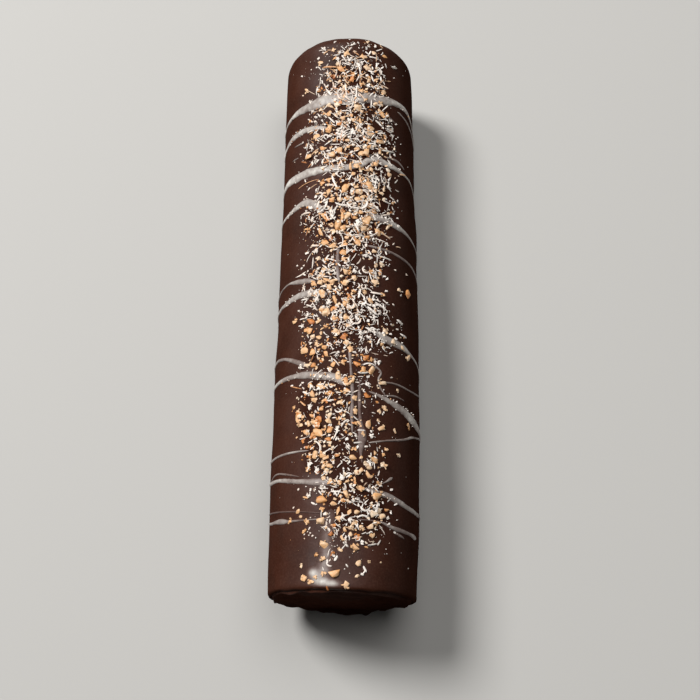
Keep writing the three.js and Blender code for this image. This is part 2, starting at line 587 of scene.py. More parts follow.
coatRoll, loopCount, aroundCount, endShadeMark = coatPoints()
rollMiddle = np.array((rollLow + rollHigh) / 2) / mm
onFrame = rollMiddle - (coatRoll.min(axis=0) + coatRoll.max(axis=0)) / 2
onFrame[2] = 0  # both stand on the floor
coat = makePiece(
    "chocolate_coat", coatRoll + onFrame, skinFaces(loopCount, aroundCount), darkChocolate(),
    {"end": endShadeMark},
)
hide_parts("chocolate_roll")
print(f"coat set on the frame by {onFrame.round(2)} mm")


# What lies on the coat is laid out flat, as millimetres round the roll from its top and along it.

# along, and how far towards the front end everything lies from its place there
forward = ((-139, 0.3), (-118, 0.4), (-100, 0.55), (45, 0.55), (70, 0), (105, -0.1), (138, -0.2))


def arcOf(degrees):
    return math.radians(degrees) * roundRadius


def onRoll(flat, lifts):
    along = flat[..., 1] - np.interp(flat[..., 1], *zip(*forward))
    return skinPoint(along, np.degrees(flat[..., 0] / roundRadius), lift=lifts) + onFrame


def joined(parts):
    # parts = [(flat places, lifts, faces, one value a point)], as one of the same kind
    faces, start = [], 0
    for flat, _, partFaces, _ in parts:
        faces += [tuple(start + v for v in face) for face in partFaces]
        start += len(flat)
    flat, lifts, values = (np.concatenate([part[i] for part in parts]) for i in (0, 1, 3))
    return flat, lifts, faces, values


def makeOnRoll(name, parts, markName, material, smoothAngle=None):
    flat, lifts, faces, values = joined(parts)
    makePiece(name, onRoll(flat, lifts), faces, material, {markName: values}, smoothAngle)


# white drizzle

drizzle = {
    "seed": 3,
    "step": 0.6,
    "leastSteps": 10,
    "across": 11,  # points over each band
    "leastWidth": 0.4,
    "leastHeight": 0.24,
    "heightPerWidth": 0.07,
    "sunk": 0.3,
    "edgeSunk": 0.15,
    "ragged": 0.09,
    "raggedWaves": ((0.7, 1.3), (0.6, 4)),  # share and spacing
    "raggedLimits": (0.5, 1.5),
    "crownUneven": 0.15,
    "crownSpacing": 3,
    "roundness": 0.85,
    "whiteUneven": 0.12,
    "whiteSpacing": 5,
    "tip": 1.6,  # millimetres over which an end comes to its point
    "tipPerWidth": 0.6,  # or this for each millimetre of width, if that is more
    "leastTip": 0.01,
    "thinEdge": 0.35,  # share of the film that is lost at a band's edge
    # bands whiter than this ran off the top of the roll: degrees and how thick they lie there, thicker down
    # both flanks where the icing ran; down the right side the whiter film is also painted light
    "ranOff": 0.5,
    "lies": (
        (-95, 0.85), (-60, 0.74), (-25, 0.58), (10, 0.5), (40, 0.68), (60, 0.7), (75, 0.68), (95, 0.6),
    ),
}

# each line: how white it is, then (degrees, along, width)
drizzleLines = [
    # band across the back
    (0.95, [(-98, 95, 0.8), (-80, 98, 1.3), (-60, 99.5, 3), (-45, 99.5, 4.9), (-30, 99.5, 7.2),
            (-20, 100.4, 8.2), (0, 100, 7), (15, 101, 7), (30, 101.5, 5.5), (45, 103.3, 4), (58, 103.5, 3),
            (68, 101.6, 1.8), (78, 97.5, 1), (92, 90, 0.5)]),
    (0.5, [(47, 99.2, 0.9), (60, 97.5, 1.1), (70, 95, 1.1), (84, 90, 0.6)]),
    (0.3, [(31, 94.6, 0.9), (38, 93.2, 1.1), (45, 91.5, 0.7)]),
    # second, left
    (0.95, [(-96, 81, 0.7), (-75, 84.5, 2), (-65, 86, 3), (-50, 86.5, 3.6), (-40, 86.5, 3.2),
            (-30, 85.5, 3), (-19, 84, 2)]),
    (0.4, [(-56, 80.2, 0.6), (-44, 79.8, 0.8)]),
    (0.4, [(-58, 72.9, 0.6), (-49, 72.6, 0.8)]),
    # third, right across
    (0.95, [(-97, 57.5, 0.7), (-80, 60.5, 2), (-65, 62, 4), (-50, 61.5, 5), (-35, 61.5, 5), (-20, 61, 4.2),
            (-5, 61, 4), (8, 62.5, 3.4), (20, 66.8, 3.5), (35, 66.3, 3.5), (45, 65.7, 3), (55, 65.3, 1.6),
            (65, 64.5, 1.1), (74, 62, 0.8), (90, 55, 0.5)]),
    (0.6, [(34, 70.4, 1), (48, 70.2, 1.4), (56, 68.3, 0.8)]),
    # fourth
    (0.85, [(-98, 41, 0.8), (-78, 43.7, 1.5), (-60, 43.9, 2.3), (-50, 44.5, 3), (-38, 45.2, 4),
            (-28, 42, 4), (-20, 37.7, 2.5)]),
    (0.8, [(12, 35, 2), (22, 35.2, 4), (30, 34.9, 4), (40, 34.2, 3.5), (50, 33.4, 2.7), (60, 32, 1.6),
           (72, 30.2, 1), (95, 26, 0.5)]),
    (0.35, [(15, 19.7, 1.2), (35, 18.9, 1.5), (45, 18.2, 1.6), (55, 17.7, 1.5), (68, 16.2, 1.3),
            (92, 11, 0.7)]),
    # short length along the top
    (0.3, [(-8, 19, 1.6), (-8.6, 9, 2.2), (-7, 0, 1.6)]),
    (0.6, [(-94, 2.6, 0.6), (-75, 5.2, 0.9), (-65, 6, 1), (-55, 6.1, 1.2), (-49, 5.4, 2.1), (-41, 4.5, 2.9),
           (-33, 3.5, 2.6), (-26, 2.2, 1.2)]),
    # fifth
    (0.85, [(-100, -6, 0.8), (-85, -3.5, 1.6), (-75, -3.7, 2), (-60, -3.3, 2.6), (-45, -2.6, 3.5),
            (-35, -2.8, 4), (-25, -3.8, 4.5), (-16, -5, 2.5)]),
    (0.8, [(20, -22.3, 2), (28, -24.5, 4), (38, -26.2, 4.5), (48, -27, 3.8), (58, -28.6, 1.9),
           (68, -30, 1.2), (78, -31.6, 0.9), (96, -37, 0.5)]),
    # two that run together on the left, and the end that stops at the middle
    (0.6, [(-98, -34.6, 0.8), (-85, -31, 1.4), (-75, -30.3, 1.6), (-62, -31.2, 1.6), (-52, -33, 1.8),
           (-42, -35.8, 2.4), (-32, -38.7, 2.6)]),
    (0.85, [(-102, -46, 0.9), (-85, -41.9, 1.6), (-70, -41.8, 2.1), (-55, -42, 2.4), (-42, -42.5, 2.8),
            (-33, -43.2, 3.8), (-20, -44.6, 4), (-8, -46, 4), (-2, -47.8, 4.5), (1, -50, 3)]),
    # the thick one on the right, with its thin loop
    (0.85, [(17, -51.8, 0.9), (24, -52.8, 1.5), (32, -54.3, 2.5), (40, -55.8, 3.2), (48, -57.3, 4),
            (56, -58.8, 4.6), (64, -60.3, 5), (72, -61.8, 4.2), (80, -62.8, 2.8), (97, -68, 0.8)]),
    (0.35, [(9, -40.5, 0.8), (16, -38.6, 1), (23, -39.8, 1), (27, -42.3, 1), (25, -45, 1), (26, -48.8, 1),
            (31, -52.4, 1.2)]),
    (0.35, [(29, -52.8, 0.8), (40, -51.8, 1), (51, -52.5, 0.7)]),
    (0.35, [(27, -46.7, 0.9), (38, -46, 1), (60, -46.4, 1), (72, -45.8, 1), (90, -43.5, 0.7)]),
    (0.4, [(17, -75.6, 0.9), (30, -73.7, 1), (50, -70.7, 1.1), (60, -68.3, 1.2), (70, -67, 1.1),
           (80, -65.8, 1), (96, -66, 0.6)]),
    # along the top
    (0.3, [(1.6, -32, 1.2), (2.4, -36, 1.9), (3, -41, 1.3), (4, -47, 1.9), (4.6, -54, 1.6), (4.4, -62, 1.8),
           (4.8, -68, 1.2), (5, -72, 0.8)]),
    (0.25, [(10, -46, 1), (10, -56, 1.7), (10.5, -63, 1.6), (11.5, -68, 2.4), (12.5, -72, 4.4),
            (12, -76, 3.6), (11.5, -80, 1.6), (12.5, -85, 0.8)]),
    (0.45, [(-100, -79, 0.7), (-88, -76.8, 1.1), (-76, -77.6, 1.2), (-60, -77.9, 1.2), (-40, -78.3, 1.1),
            (-27, -78.7, 0.7)]),
    # near the front
    (0.3, [(-76, -87.2, 0.7), (-64, -85.7, 1), (-50, -87.2, 1), (-35, -89.7, 0.7)]),
    (0.7, [(-102, -84.8, 0.8), (-90, -86.5, 1.4), (-80, -87.7, 1.8), (-58, -89.1, 2), (-45, -90.7, 2.3),
           (-35, -91.9, 2.5), (-25, -92.8, 3.1), (-15, -93.5, 3.7), (-8, -93.8, 3)]),
    (0.7, [(14, -96, 1.6), (25, -97.2, 2.6), (33, -97.9, 3), (42, -99.2, 2.8), (52, -100.7, 2.5),
           (62, -101.5, 2.4), (72, -101.9, 2), (85, -101.2, 1.6), (102, -103, 0.8)]),
    (0.45, [(27, -93.4, 0.6), (32, -91.7, 0.9), (36, -90, 1.7), (37.6, -89.4, 1.6)]),
    (0.18, [(-86, -101, 0.6), (-70, -102.2, 0.8), (-55, -103.4, 0.8), (-40, -104.7, 0.8),
            (-15, -106.8, 0.6)]),
    (0.58, [(-100, -104, 0.6), (-88, -104.7, 1), (-72, -106.8, 1.5), (-62, -107.3, 2), (-53, -107.9, 3),
            (-45, -108.6, 1.5), (-35, -109, 1), (-10, -109.3, 0.8)]),
    (0.55, [(10, -109.3, 0.7), (30, -110, 1.1), (38, -111.3, 2), (48, -111.9, 2), (58, -112.3, 1.8),
            (67, -112.8, 2.1), (70, -113, 1.2)]),
    (0.3, [(39, -113.1, 0.8), (45, -114, 1.3), (51, -115, 0.8)]),
]


def smoothRoute(line, step):
    # a smooth run through the line's stops: flat places, widths and how far along it they are
    stops = np.array(line, float)
    stops[:, 0] = np.radians(stops[:, 0]) * roundRadius
    gaps = np.linalg.norm(np.diff(stops[:, :2], axis=0), axis=1)
    travelled = np.concatenate([[0], np.cumsum(gaps)])
    slopes = np.gradient(stops, travelled, axis=0)
    marks = np.linspace(0, travelled[-1], max(drizzle["leastSteps"], int(travelled[-1] / step)))
    i = np.clip(np.searchsorted(travelled, marks, side="right") - 1, 0, len(stops) - 2)
    gap = travelled[i + 1] - travelled[i]
    t = ((marks - travelled[i]) / gap)[:, None]
    gap = gap[:, None]
    run = (2 * t ** 3 - 3 * t ** 2 + 1) * stops[i] + (t ** 3 - 2 * t ** 2 + t) * gap * slopes[i]
    run += (3 * t ** 2 - 2 * t ** 3) * stops[i + 1] + (t ** 3 - t ** 2) * gap * slopes[i + 1]
    return run[:, :2], np.maximum(run[:, 2], drizzle["leastWidth"]), marks


def wobble(rng, marks, spacing):
    # a smooth random line of about unit size
    knots = np.arange(marks[0] - spacing, marks[-1] + 2 * spacing, spacing)
    return np.interp(marks, knots, rng.normal(size=len(knots)))


def drizzleBand(white, line, rng):
    # one line of icing: a low round ridge with ragged edges
    flat, width, marks = smoothRoute(line, drizzle["step"])
    heading = np.gradient(flat, axis=0)
    heading /= np.linalg.norm(heading, axis=1, keepdims=True)
    aside = np.column_stack([-heading[:, 1], heading[:, 0]])
    fromTip = np.minimum(marks - marks[0], marks[-1] - marks)
    tipLength = np.maximum(drizzle["tip"], width * drizzle["tipPerWidth"])
    tip = np.sqrt(np.clip(fromTip / tipLength, drizzle["leastTip"], 1))
    halves = []
    for _ in range(2):
        ragged = sum(share * wobble(rng, marks, spacing) for share, spacing in drizzle["raggedWaves"])
        halves.append(width / 2 * np.clip(1 + drizzle["ragged"] * ragged, *drizzle["raggedLimits"]) * tip)
    crown = (drizzle["leastHeight"] + drizzle["heightPerWidth"] * width) * tip
    crown = crown * (1 + drizzle["crownUneven"] * wobble(rng, marks, drizzle["crownSpacing"]))
    across = np.linspace(-1, 1, drizzle["across"])
    reach = np.where(across[None, :] < 0, halves[0][:, None], halves[1][:, None]) * across[None, :]
    top = flat[:, None, :] + reach[:, :, None] * aside[:, None, :]
    profile = (1 - across ** 2) ** drizzle["roundness"]
    rise = crown[:, None] * profile[None, :]
    below = top[:, ::-2, :][:, 1:-1]
    places = np.concatenate([top, below], axis=1)
    lifts = np.concatenate([rise, np.full(below.shape[:2], -drizzle["sunk"])], axis=1)
    lifts[:, [0, len(across) - 1]] -= drizzle["edgeSunk"]
    film = white * (1 + drizzle["whiteUneven"] * wobble(rng, marks, drizzle["whiteSpacing"]))
    if white > drizzle["ranOff"]:
        film *= np.interp(np.degrees(flat[:, 0] / roundRadius), *zip(*drizzle["lies"]))
    lens = np.concatenate([profile, np.zeros(lifts.shape[1] - len(across))])
    film = film[:, None] * (1 - drizzle["thinEdge"] * (1 - lens))[None, :]
    return places.reshape(-1, 2), lifts.reshape(-1), tubeFaces(*lifts.shape), film.reshape(-1)


# the smear on the front end: thin round spots of icing that run into one another
smear = {
    "cell": 0.45,
    "degrees": (-31, 5),
    "along": (-138.8, -103),
    "height": 0.3,
    "roundness": 0.7,
    "under": 0.03,  # how far its bare rim dips into the coat
    "fadesOut": (138.6, 137.5),  # millimetres towards the front end
    # degrees, along, reach across, reach along, how white
    "spots": [
        (-21.5, -131.9, 2.4, 1.7, 0.6), (-18.5, -134, 3.2, 1.9, 0.55), (-14, -136, 4.4, 1.5, 0.62),
        (-7.5, -136.6, 3.4, 1.2, 0.55), (-12.5, -131.2, 2.6, 2.2, 0.3), (-13.5, -128.5, 2.4, 3, 0.24),
        (-11.5, -124.5, 2.6, 3.2, 0.27), (-12.5, -119.5, 2.6, 4, 0.19), (-12, -114.5, 2.0, 4, 0.14),
        (-9, -109, 1.8, 3.5, 0.11),
    ],
}


def smearPatch():
    first, last = smear["degrees"]
    across = np.arange(arcOf(first), arcOf(last), smear["cell"])
    alongs = np.arange(*smear["along"], smear["cell"])
    grid = np.stack(np.meshgrid(across, alongs, indexing="ij"), axis=-1)
    bare = np.ones(grid.shape[:2])
    for degrees, along, reachAcross, reachAlong, white in smear["spots"]:
        offset = (grid - [arcOf(degrees), along]) / [reachAcross, reachAlong]
        bare *= 1 - white * np.exp(-(offset ** 2).sum(axis=-1))
    film = (1 - bare) * smoothStep(-grid[..., 1], *smear["fadesOut"])
    rise = smear["height"] * film ** smear["roundness"] - smear["under"]
    columns, rows = film.shape
    number = np.arange(columns * rows).reshape(columns, rows)
    lower = columns * rows
    faces = []
    for i in range(columns - 1):
        for j in range(rows - 1):
            cell = (number[i, j], number[i + 1, j], number[i + 1, j + 1], number[i, j + 1])
            faces.append(cell)
            faces.append(tuple(lower + k for k in cell[::-1]))
    rim = [*number[:-1, 0], *number[-1, :-1], *number[:0:-1, -1], *number[0, :0:-1]]
    for first, second in zip(rim, rim[1:] + rim[:1]):
        faces.append((second, first, lower + first, lower + second))
    flat = grid.reshape(-1, 2)
    lifts = np.concatenate([rise.reshape(-1), np.full(lower, -drizzle["sunk"])])
    faces = [tuple(int(k) for k in face) for face in faces]
    return np.concatenate([flat, flat]), lifts, faces, np.tile(film.reshape(-1), 2)


icing = {
    # how thick the film is and its colour, from bare chocolate to full white
    "tints": (
        (0.0, "381f15"), (0.2, "5a4640"), (0.35, "7d706a"),
        (0.6, "a39b94"), (0.8, "c4bfb7"), (1.0, "e2ddd4"),
    ),
    "clouds": {"size": 2.2},
    "thickness": (0.78, 1.22),  # how much the clouds change the film
    "shine": {"size": 2.5},
    "roughness": (0.42, 0.55),
    "grain": {"size": 1.1},
    "grainDepth": 0.1,
    "gloss": 0.1,
    "glazeShare": 0.7,  # of the glaze on it where it lies thick
    "glazeRoughness": 0.36,
}


def whiteIcing():
    material, nodes, links, shader, place = newMaterial("white icing")
    clouds = noiseNode(nodes, links, place, **icing["clouds"])
    thickness = rangeNode(nodes, links, clouds, *icing["thickness"])
    film = mathNode(nodes, links, "MULTIPLY", markNode(nodes, "film"), thickness)
    links.new(tintNode(nodes, links, film, icing["tints"]), shader.inputs["Base Color"])
    shine = noiseNode(nodes, links, place, **icing["shine"])
    links.new(rangeNode(nodes, links, shine, *icing["roughness"]), shader.inputs["Roughness"])
    grain = noiseNode(nodes, links, place, **icing["grain"])
    links.new(bumpNode(nodes, links, grain, icing["grainDepth"]), shader.inputs["Normal"])
    shader.inputs["Specular IOR Level"].default_value = icing["gloss"]
    links.new(mathNode(nodes, links, "MULTIPLY", film, icing["glazeShare"]), shader.inputs["Coat Weight"])
    shader.inputs["Coat Roughness"].default_value = icing["glazeRoughness"]
    return material


# how high the toppings already stand, and where later ones seldom land, on a grid laid out flat
heap = {
    "cell": 0.4,
    "arc": 62,
    "along": 141,
    "drizzleShare": 0.9,  # of its height that bears toppings
    "underside": 0.1,  # points lower than this share of a piece's top are its underside
    "bearing": 0.85,  # share of the underside that stands clear of what it lies on
    "clearing": 0.35,  # how far round a piece that stands out later ones seldom land
    "discPoints": 17,
    # the faint runs along the top are kept clear too
    "runs": {"whiteUpTo": 0.3, "longerThan": 15, "halfWidth": 0.45, "rows": 9, "step": 0.3},
}
heapHeight = np.zeros((int(2 * heap["arc"] / heap["cell"]), int(2 * heap["along"] / heap["cell"])))
barred = np.zeros(heapHeight.shape, bool)


def heapCells(flat):
    cells = ((flat + [heap["arc"], heap["along"]]) / heap["cell"]).astype(int)
    return np.clip(cells[:, 0], 0, heapHeight.shape[0] - 1), np.clip(cells[:, 1], 0, heapHeight.shape[1] - 1)


def keepRunsClear():
    runs = heap["runs"]
    for white, line in drizzleLines:
        if white > runs["whiteUpTo"] or abs(line[-1][1] - line[0][1]) <= runs["longerThan"]:
            continue
        flat, width, _ = smoothRoute(line, runs["step"])
        for aside in np.linspace(-runs["halfWidth"], runs["halfWidth"], runs["rows"]):
            barred[heapCells(flat + np.column_stack([aside * width, 0 * width]))] = True


drizzleRng = np.random.default_rng(drizzle["seed"])
bands = [drizzleBand(white, line, drizzleRng) for white, line in drizzleLines] + [smearPatch()]
for flat, lifts, _, _ in bands:
    np.maximum.at(heapHeight, heapCells(flat), heap["drizzleShare"] * lifts)
keepRunsClear()
makeOnRoll("white_drizzle", bands, "film", whiteIcing())


# where the toppings fall

# from back to front: along, left and right edge in degrees, then for the nuts and for the coconut
# how thickly they lie there and the degrees of their middle
strip = np.array([
    (137, -22, 30, 0.02, 2, 0.18, 6),
    (131, -26, 31, 0.15, -3, 0.34, 3),
    (125, -30, 33, 0.28, -3, 0.46, 1),
    (115, -27, 33, 0.6, 2, 0.88, 1),
    (106, -31, 31, 0.95, -3, 0.58, 0),
    (103, -20, 30, 0.95, 0, 0.74, 3),
    (98, -18, 31, 0.9, 4, 0.68, 3),
    (95, -34, 38, 0.8, 2, 0.6, 0),
    (85, -37, 41, 0.9, 2, 0.9, 0),
    (75, -40, 40, 0.65, 14, 1.1, -4),
    (66, -42, 38, 0.7, 2, 0.92, 3),
    (63, -24, 36, 0.8, 2, 0.88, 10),
    (59, -20, 37, 0.88, 0, 0.68, 12),
    (55, -30, 37, 0.88, 0, 0.7, 12),
    (47, -29, 36, 0.9, 0, 1, 12),
    (43, -30, 36, 0.9, 0, 1, 12),
    (35, -41, 36, 0.95, -2, 1.15, 4),
    (25, -34, 28, 1.05, -9, 0.75, 1),
    (15, -34, 28, 0.8, -10, 0.7, -6),
    (5, -40, 25, 0.7, -8, 0.7, -6),
    (0, -36, 24, 0.8, -8, 0.75, -4),
    (-5, -34, 23, 0.8, -8, 0.8, -8),
    (-10, -38, 29, 0.65, -12, 1, 4),
    (-15, -38, 34, 0.55, -10, 1.15, 9),
    (-25, -36, 42, 0.75, -14, 0.72, 11),
    (-35, -43, 22, 0.95, -18, 0.35, -9),
    (-41, -28, 24, 1.1, -13, 0.35, -10),
    (-46, -28, 24, 1.2, -13, 0.35, -10),
    (-52, -38, 26, 1.3, -20, 0.32, -12),
    (-60, -38, 25, 1.2, -22, 0.32, -10),
    (-67, -37, 26, 1.3, -22, 0.35, -8),
    (-75, -32, 27, 1.4, -20, 0.4, -5),
    (-82, -31, 27, 1.5, -17, 0.36, -2),
    (-88, -30, 27, 1.45, -13, 0.36, 2),
    (-92, -14, 33, 0.92, -2, 0.5, 6),
    (-97, -22, 32, 1, 5, 0.58, 4),
    (-105, -15, 33, 1, 7, 0.7, 8),
    (-112, -13, 31, 0.82, 8, 0.6, 7),
    (-117, -9, 26, 0.38, 7, 0.35, 6),
    (-120, -8, 24, 0.1, 8, 0.15, 9),
    (-125, -14, 22, 0.03, 0, 0.06, 5),
    (-136, -28, 16, 0.02, -8, 0.03, 0),
])

clumps = {"seed": 21, "count": 60, "lengths": (7, 26), "limits": (0.05, 3)}

scatter = {
    "frontFades": (-138, -133),
    "backFades": (131, 137),
    "evenShare": 0.3,  # of the toppings that lie evenly over the strip, the rest crowd its middle
    "reach": 62,  # degrees
    "from": -139,
    "to": 138,
    "tries": 4000,
    "crowded": 1.8,  # the greatest weight that still counts
    "barredShare": 0.15,
    # how each kind falls: like the nuts or the coconut, how far it spreads from the middle and past the
    # strip's edges in degrees, how much it clumps, and how far its clumps lie from the nuts' ones
    "falls": {
        "middlingNut": ("nut", 20, 4, 0.35, 0),
        "smallNut": ("nut", 22, 7, 0.35, 0),
        "shred": ("coconut", 24, 4, 0.35, 40),
        "flake": ("coconut", 24, 8, 0.35, 40),
        "crumb": ("coconut", 24, 4, 0.5, 40),
        "pastCrumb": ("coconut", 60, 17, 0.6, 11),
        "anyNut": ("nut", 24, 6, 0, 0),
        "anyCoconut": ("coconut", 24, 6, 0, 0),
    },
}


def clumpWaves():
    rng = np.random.default_rng(clumps["seed"])
    heading = rng.uniform(0, fullTurn, clumps["count"])
    length = rng.uniform(*clumps["lengths"], clumps["count"])
    phase = rng.uniform(0, fullTurn, clumps["count"])
    return fullTurn / length * np.cos(heading), fullTurn / length * np.sin(heading), phase


clumpAcross, clumpAlong, clumpPhase = clumpWaves()


def clumping(arc, along):
    # above 0 where pieces clump together, below 0 between the clumps
    waves = np.sin(np.outer(arc, clumpAcross) + np.outer(along, clumpAlong) + clumpPhase)
    return waves.sum(axis=1) / math.sqrt(clumps["count"] / 2)


def stripAt(along):
    fromFront = strip[::-1]
    return [np.interp(along, fromFront[:, 0], fromFront[:, i]) for i in range(1, 7)]


def toppingWeight(degrees, along, fall):
    # how thickly toppings of that fall lie at each place
    like, spread, softEdge, clumpShare, offset = scatter["falls"][fall]
    left, right, nutShare, nutMiddle, coconutShare, coconutMiddle = stripAt(along)
    share, middle = (nutShare, nutMiddle) if like == "nut" else (coconutShare, coconutMiddle)
    inside = smoothStep(degrees, left - softEdge, left + softEdge)
    inside = inside * smoothStep(-degrees, -right - softEdge, -right + softEdge)
    ends = smoothStep(along, *scatter["frontFades"]) * (1 - smoothStep(along, *scatter["backFades"]))
    clumpy = 1 + clumpShare * clumping(np.radians(degrees) * roundRadius + offset, along)
    evenShare = scatter["evenShare"]
    crowding = evenShare + (1 - evenShare) * hump(degrees, middle, spread)
    return share * inside * ends * np.clip(clumpy, *clumps["limits"]) * crowding


def degreesOf(points):
    return np.degrees(np.arctan2(points[:, 0] - bowAt(points[:, 1]), points[:, 2] - axisHeight))


def toppingShadowShare(points):
    # how thickly the toppings lie over each point of the coat, which sets the painted shadow and the duller
    # film under them
    degrees = degreesOf(points)
    weight = sum(toppingWeight(degrees, points[:, 1], fall) for fall in ("anyNut", "anyCoconut"))
    return np.clip(chocolate["coveredWeight"] * weight, 0, 1)


def outerShare(points):
    # 0 on the axis of the roll, 1 near its skin
    fromAxis = np.hypot(points[:, 0] - bowAt(points[:, 1]), points[:, 2] - axisHeight)
    return smoothStep(fromAxis, 0, chocolate["outer"])


def sideShadeShare(points):
    # 1 down the right side, 0 on the left, underneath and in the middle of the ends: where the coat gets
    # painted shade
    degrees = degreesOf(points)
    onRight = smoothStep(degrees, *chocolate["sideFrom"]) * (1 - smoothStep(degrees, *chocolate["sideTo"]))
    return onRight * outerShare(points)


def bloomShare(points):
    # how much of the film is left
    thinned = smoothStep(np.abs(degreesOf(points)), *chocolate["filmFades"])
    outer = outerShare(points)
    return 1 - chocolate["filmLost"] * (thinned * outer + chocolate["middleLost"] * (1 - outer))


addMark(coat.data, "covered", toppingShadowShare(coatRoll))
addMark(coat.data, "bloom", bloomShare(coatRoll))
addMark(coat.data, "side", sideShadeShare(coatRoll))


def scatterPlaces(rng, count, fall):
    # random places, kept or not by how thickly the toppings lie there
    found, tries = [], scatter["tries"]
    while len(found) < count:
        degrees = rng.uniform(-scatter["reach"], scatter["reach"], tries)
        along = rng.uniform(scatter["from"], scatter["to"], tries)
        weight = toppingWeight(degrees, along, fall)
        cells = heapCells(np.column_stack([np.radians(degrees) * roundRadius, along]))
        weight = np.where(barred[cells], scatter["barredShare"] * weight, weight)
        kept = rng.uniform(0, scatter["crowded"], tries) < weight
        found += list(zip(degrees[kept], along[kept]))
    return np.array(found[:count])


# broken chunks, which nuts, flakes and crumbs are stretched from

chunkLook = {
    "worn": {"seed": 41, "count": 48, "bevel": 0.11, "roundedShare": 0.75, "leastFilled": 0.6},
    "sharp": {"seed": 42, "count": 40, "bevel": 0, "roundedShare": 0.25, "leastFilled": 0.52},
    "ballCorners": (9, 15),
    "ballUneven": (0.7, 1),
    "boxCorners": (5, 9),
    "boxSides": (0.55, 1),
    "boxKnocked": 0.32,
    "extraCorners": (1, 4),
    "cutAt": (0.2, 0.8),  # where the top is cut flat, as a share of half its height
}


def onBall(rng, corners):
    points = rng.normal(size=(rng.integers(*corners), 3))
    return points / np.linalg.norm(points, axis=1, keepdims=True)


def orderedMesh(chunk):
    # its points and faces in the order of their places, because a bevel's own order isn't always the same
    chunk.verts.index_update()
    points = np.array([v.co[:] for v in chunk.verts])
    order = np.lexsort(points.T)
    newIndex = np.argsort(order).tolist()
    faces = []
    for face in chunk.faces:
        corners = [newIndex[v.index] for v in face.verts]
        first = corners.index(min(corners))
        faces.append(tuple(corners[first:] + corners[:first]))
    return points[order], sorted(faces)


def brokenChunk(rng, bevel, rounded):
    # the hull of a knocked-about box or of a lumpy ball, cut flat on top, 1 long, broad and high
    if rounded:
        corners = onBall(rng, chunkLook["ballCorners"])
        corners *= rng.uniform(*chunkLook["ballUneven"], (len(corners), 1))
    else:
        corners = np.array([(x, y, z) for x in (-1, 1) for y in (-1, 1) for z in (-1, 1)], float)
        kept = rng.integers(*chunkLook["boxCorners"])
        corners = rng.permutation(corners)[:kept] * rng.uniform(*chunkLook["boxSides"], (1, 3))
        corners += rng.normal(0, chunkLook["boxKnocked"], corners.shape)
        corners = np.concatenate([corners, onBall(rng, chunkLook["extraCorners"])])
    corners[:, 2] = np.minimum(corners[:, 2], rng.uniform(*chunkLook["cutAt"]))
    chunk = bmesh.new()
    for corner in corners:
        chunk.verts.new(corner)
    hull = bmesh.ops.convex_hull(chunk, input=chunk.verts)
    inner = hull["geom_interior"] + hull["geom_unused"]
    bmesh.ops.delete(chunk, geom=[v for v in chunk.verts if v in inner], context="VERTS")
    if bevel:
        bmesh.ops.bevel(chunk, geom=chunk.edges[:], offset=bevel, segments=1, profile=0.5, affect="EDGES")
    bmesh.ops.triangulate(chunk, faces=chunk.faces[:])
    points, faces = orderedMesh(chunk)
    chunk.free()
    points -= (points.max(axis=0) + points.min(axis=0)) / 2
    return points / (points.max(axis=0) - points.min(axis=0)), faces


def shareFilled(points, faces):
    # how much of its length by breadth a chunk covers, seen from above: half of all its faces' shadows
    first, second, third = (points[[face[i] for face in faces], :2] for i in range(3))
    one, other = second - first, third - first
    return np.abs(one[:, 0] * other[:, 1] - one[:, 1] * other[:, 0]).sum() / 4


def chunkSet(kind):
    rng = np.random.default_rng(kind["seed"])
    chunks = []
    while len(chunks) < kind["count"]:
        rounded = len(chunks) < kind["roundedShare"] * kind["count"]
        points, faces = brokenChunk(rng, kind["bevel"], rounded)
        if shareFilled(points, faces) > kind["leastFilled"]:
            chunks.append((points, faces))
    return chunks


wornChunks = chunkSet(chunkLook["worn"])
sharpChunks = chunkSet(chunkLook["sharp"])


def chunkOf(rng, chunks, length, breadth, thickness):
    points, faces = chunks[rng.integers(len(chunks))]
    return points * [length, breadth, thickness], faces


def turned(shape, rng, tilt, heading=None):
    # heading degrees round from across the roll, or any way round, and tilted a little off the coat
    spin = rng.uniform(0, fullTurn)  # drawn either way, so that a heading changes nothing after it
    if heading is not None:
        spin = math.radians(heading)
    lean, nod = np.radians(rng.normal(0, tilt, 2))
    turn = Matrix.Rotation(spin, 3, "Z") @ Matrix.Rotation(nod, 3, "Y") @ Matrix.Rotation(lean, 3, "X")
    return shape @ np.array(turn).T


def settle(shape, place, sunk):
    # drops a shape on what lies there already, and adds it to the heap
    flat = shape[:, :2] + [arcOf(place[0]), place[1]]
    cells = heapCells(flat)
    lower = shape[:, 2] < heap["underside"] * shape[:, 2].max()
    needed = heapHeight[cells][lower] - shape[lower, 2]
    lift = np.quantile(needed, heap["bearing"]) - sunk
    upper = shape[:, 2] > 0
    np.maximum.at(heapHeight, (cells[0][upper], cells[1][upper]), lift + shape[upper, 2])
    return flat, shape[:, 2] + lift


def addTopping(store, shape, faces, place, sunk, tone):
    flat, lifts = settle(shape, place, sunk)
    store.append((flat, lifts, faces, np.full(len(shape), tone)))


def discPlaces():
    steps = np.linspace(-1, 1, heap["discPoints"])
    return np.array([(x, y) for x in steps for y in steps if math.hypot(x, y) < 1])


def keepClear(degrees, along, length, breadth, heading):
    # later toppings seldom land on a piece that stands out
    spin = math.radians(heading)
    turn = np.array([[math.cos(spin), math.sin(spin)], [-math.sin(spin), math.cos(spin)]])
    reach = heap["clearing"]
    disc = discPlaces() * [length / 2 + reach, breadth / 2 + reach] @ turn
    barred[heapCells(disc + [arcOf(degrees), along])] = True


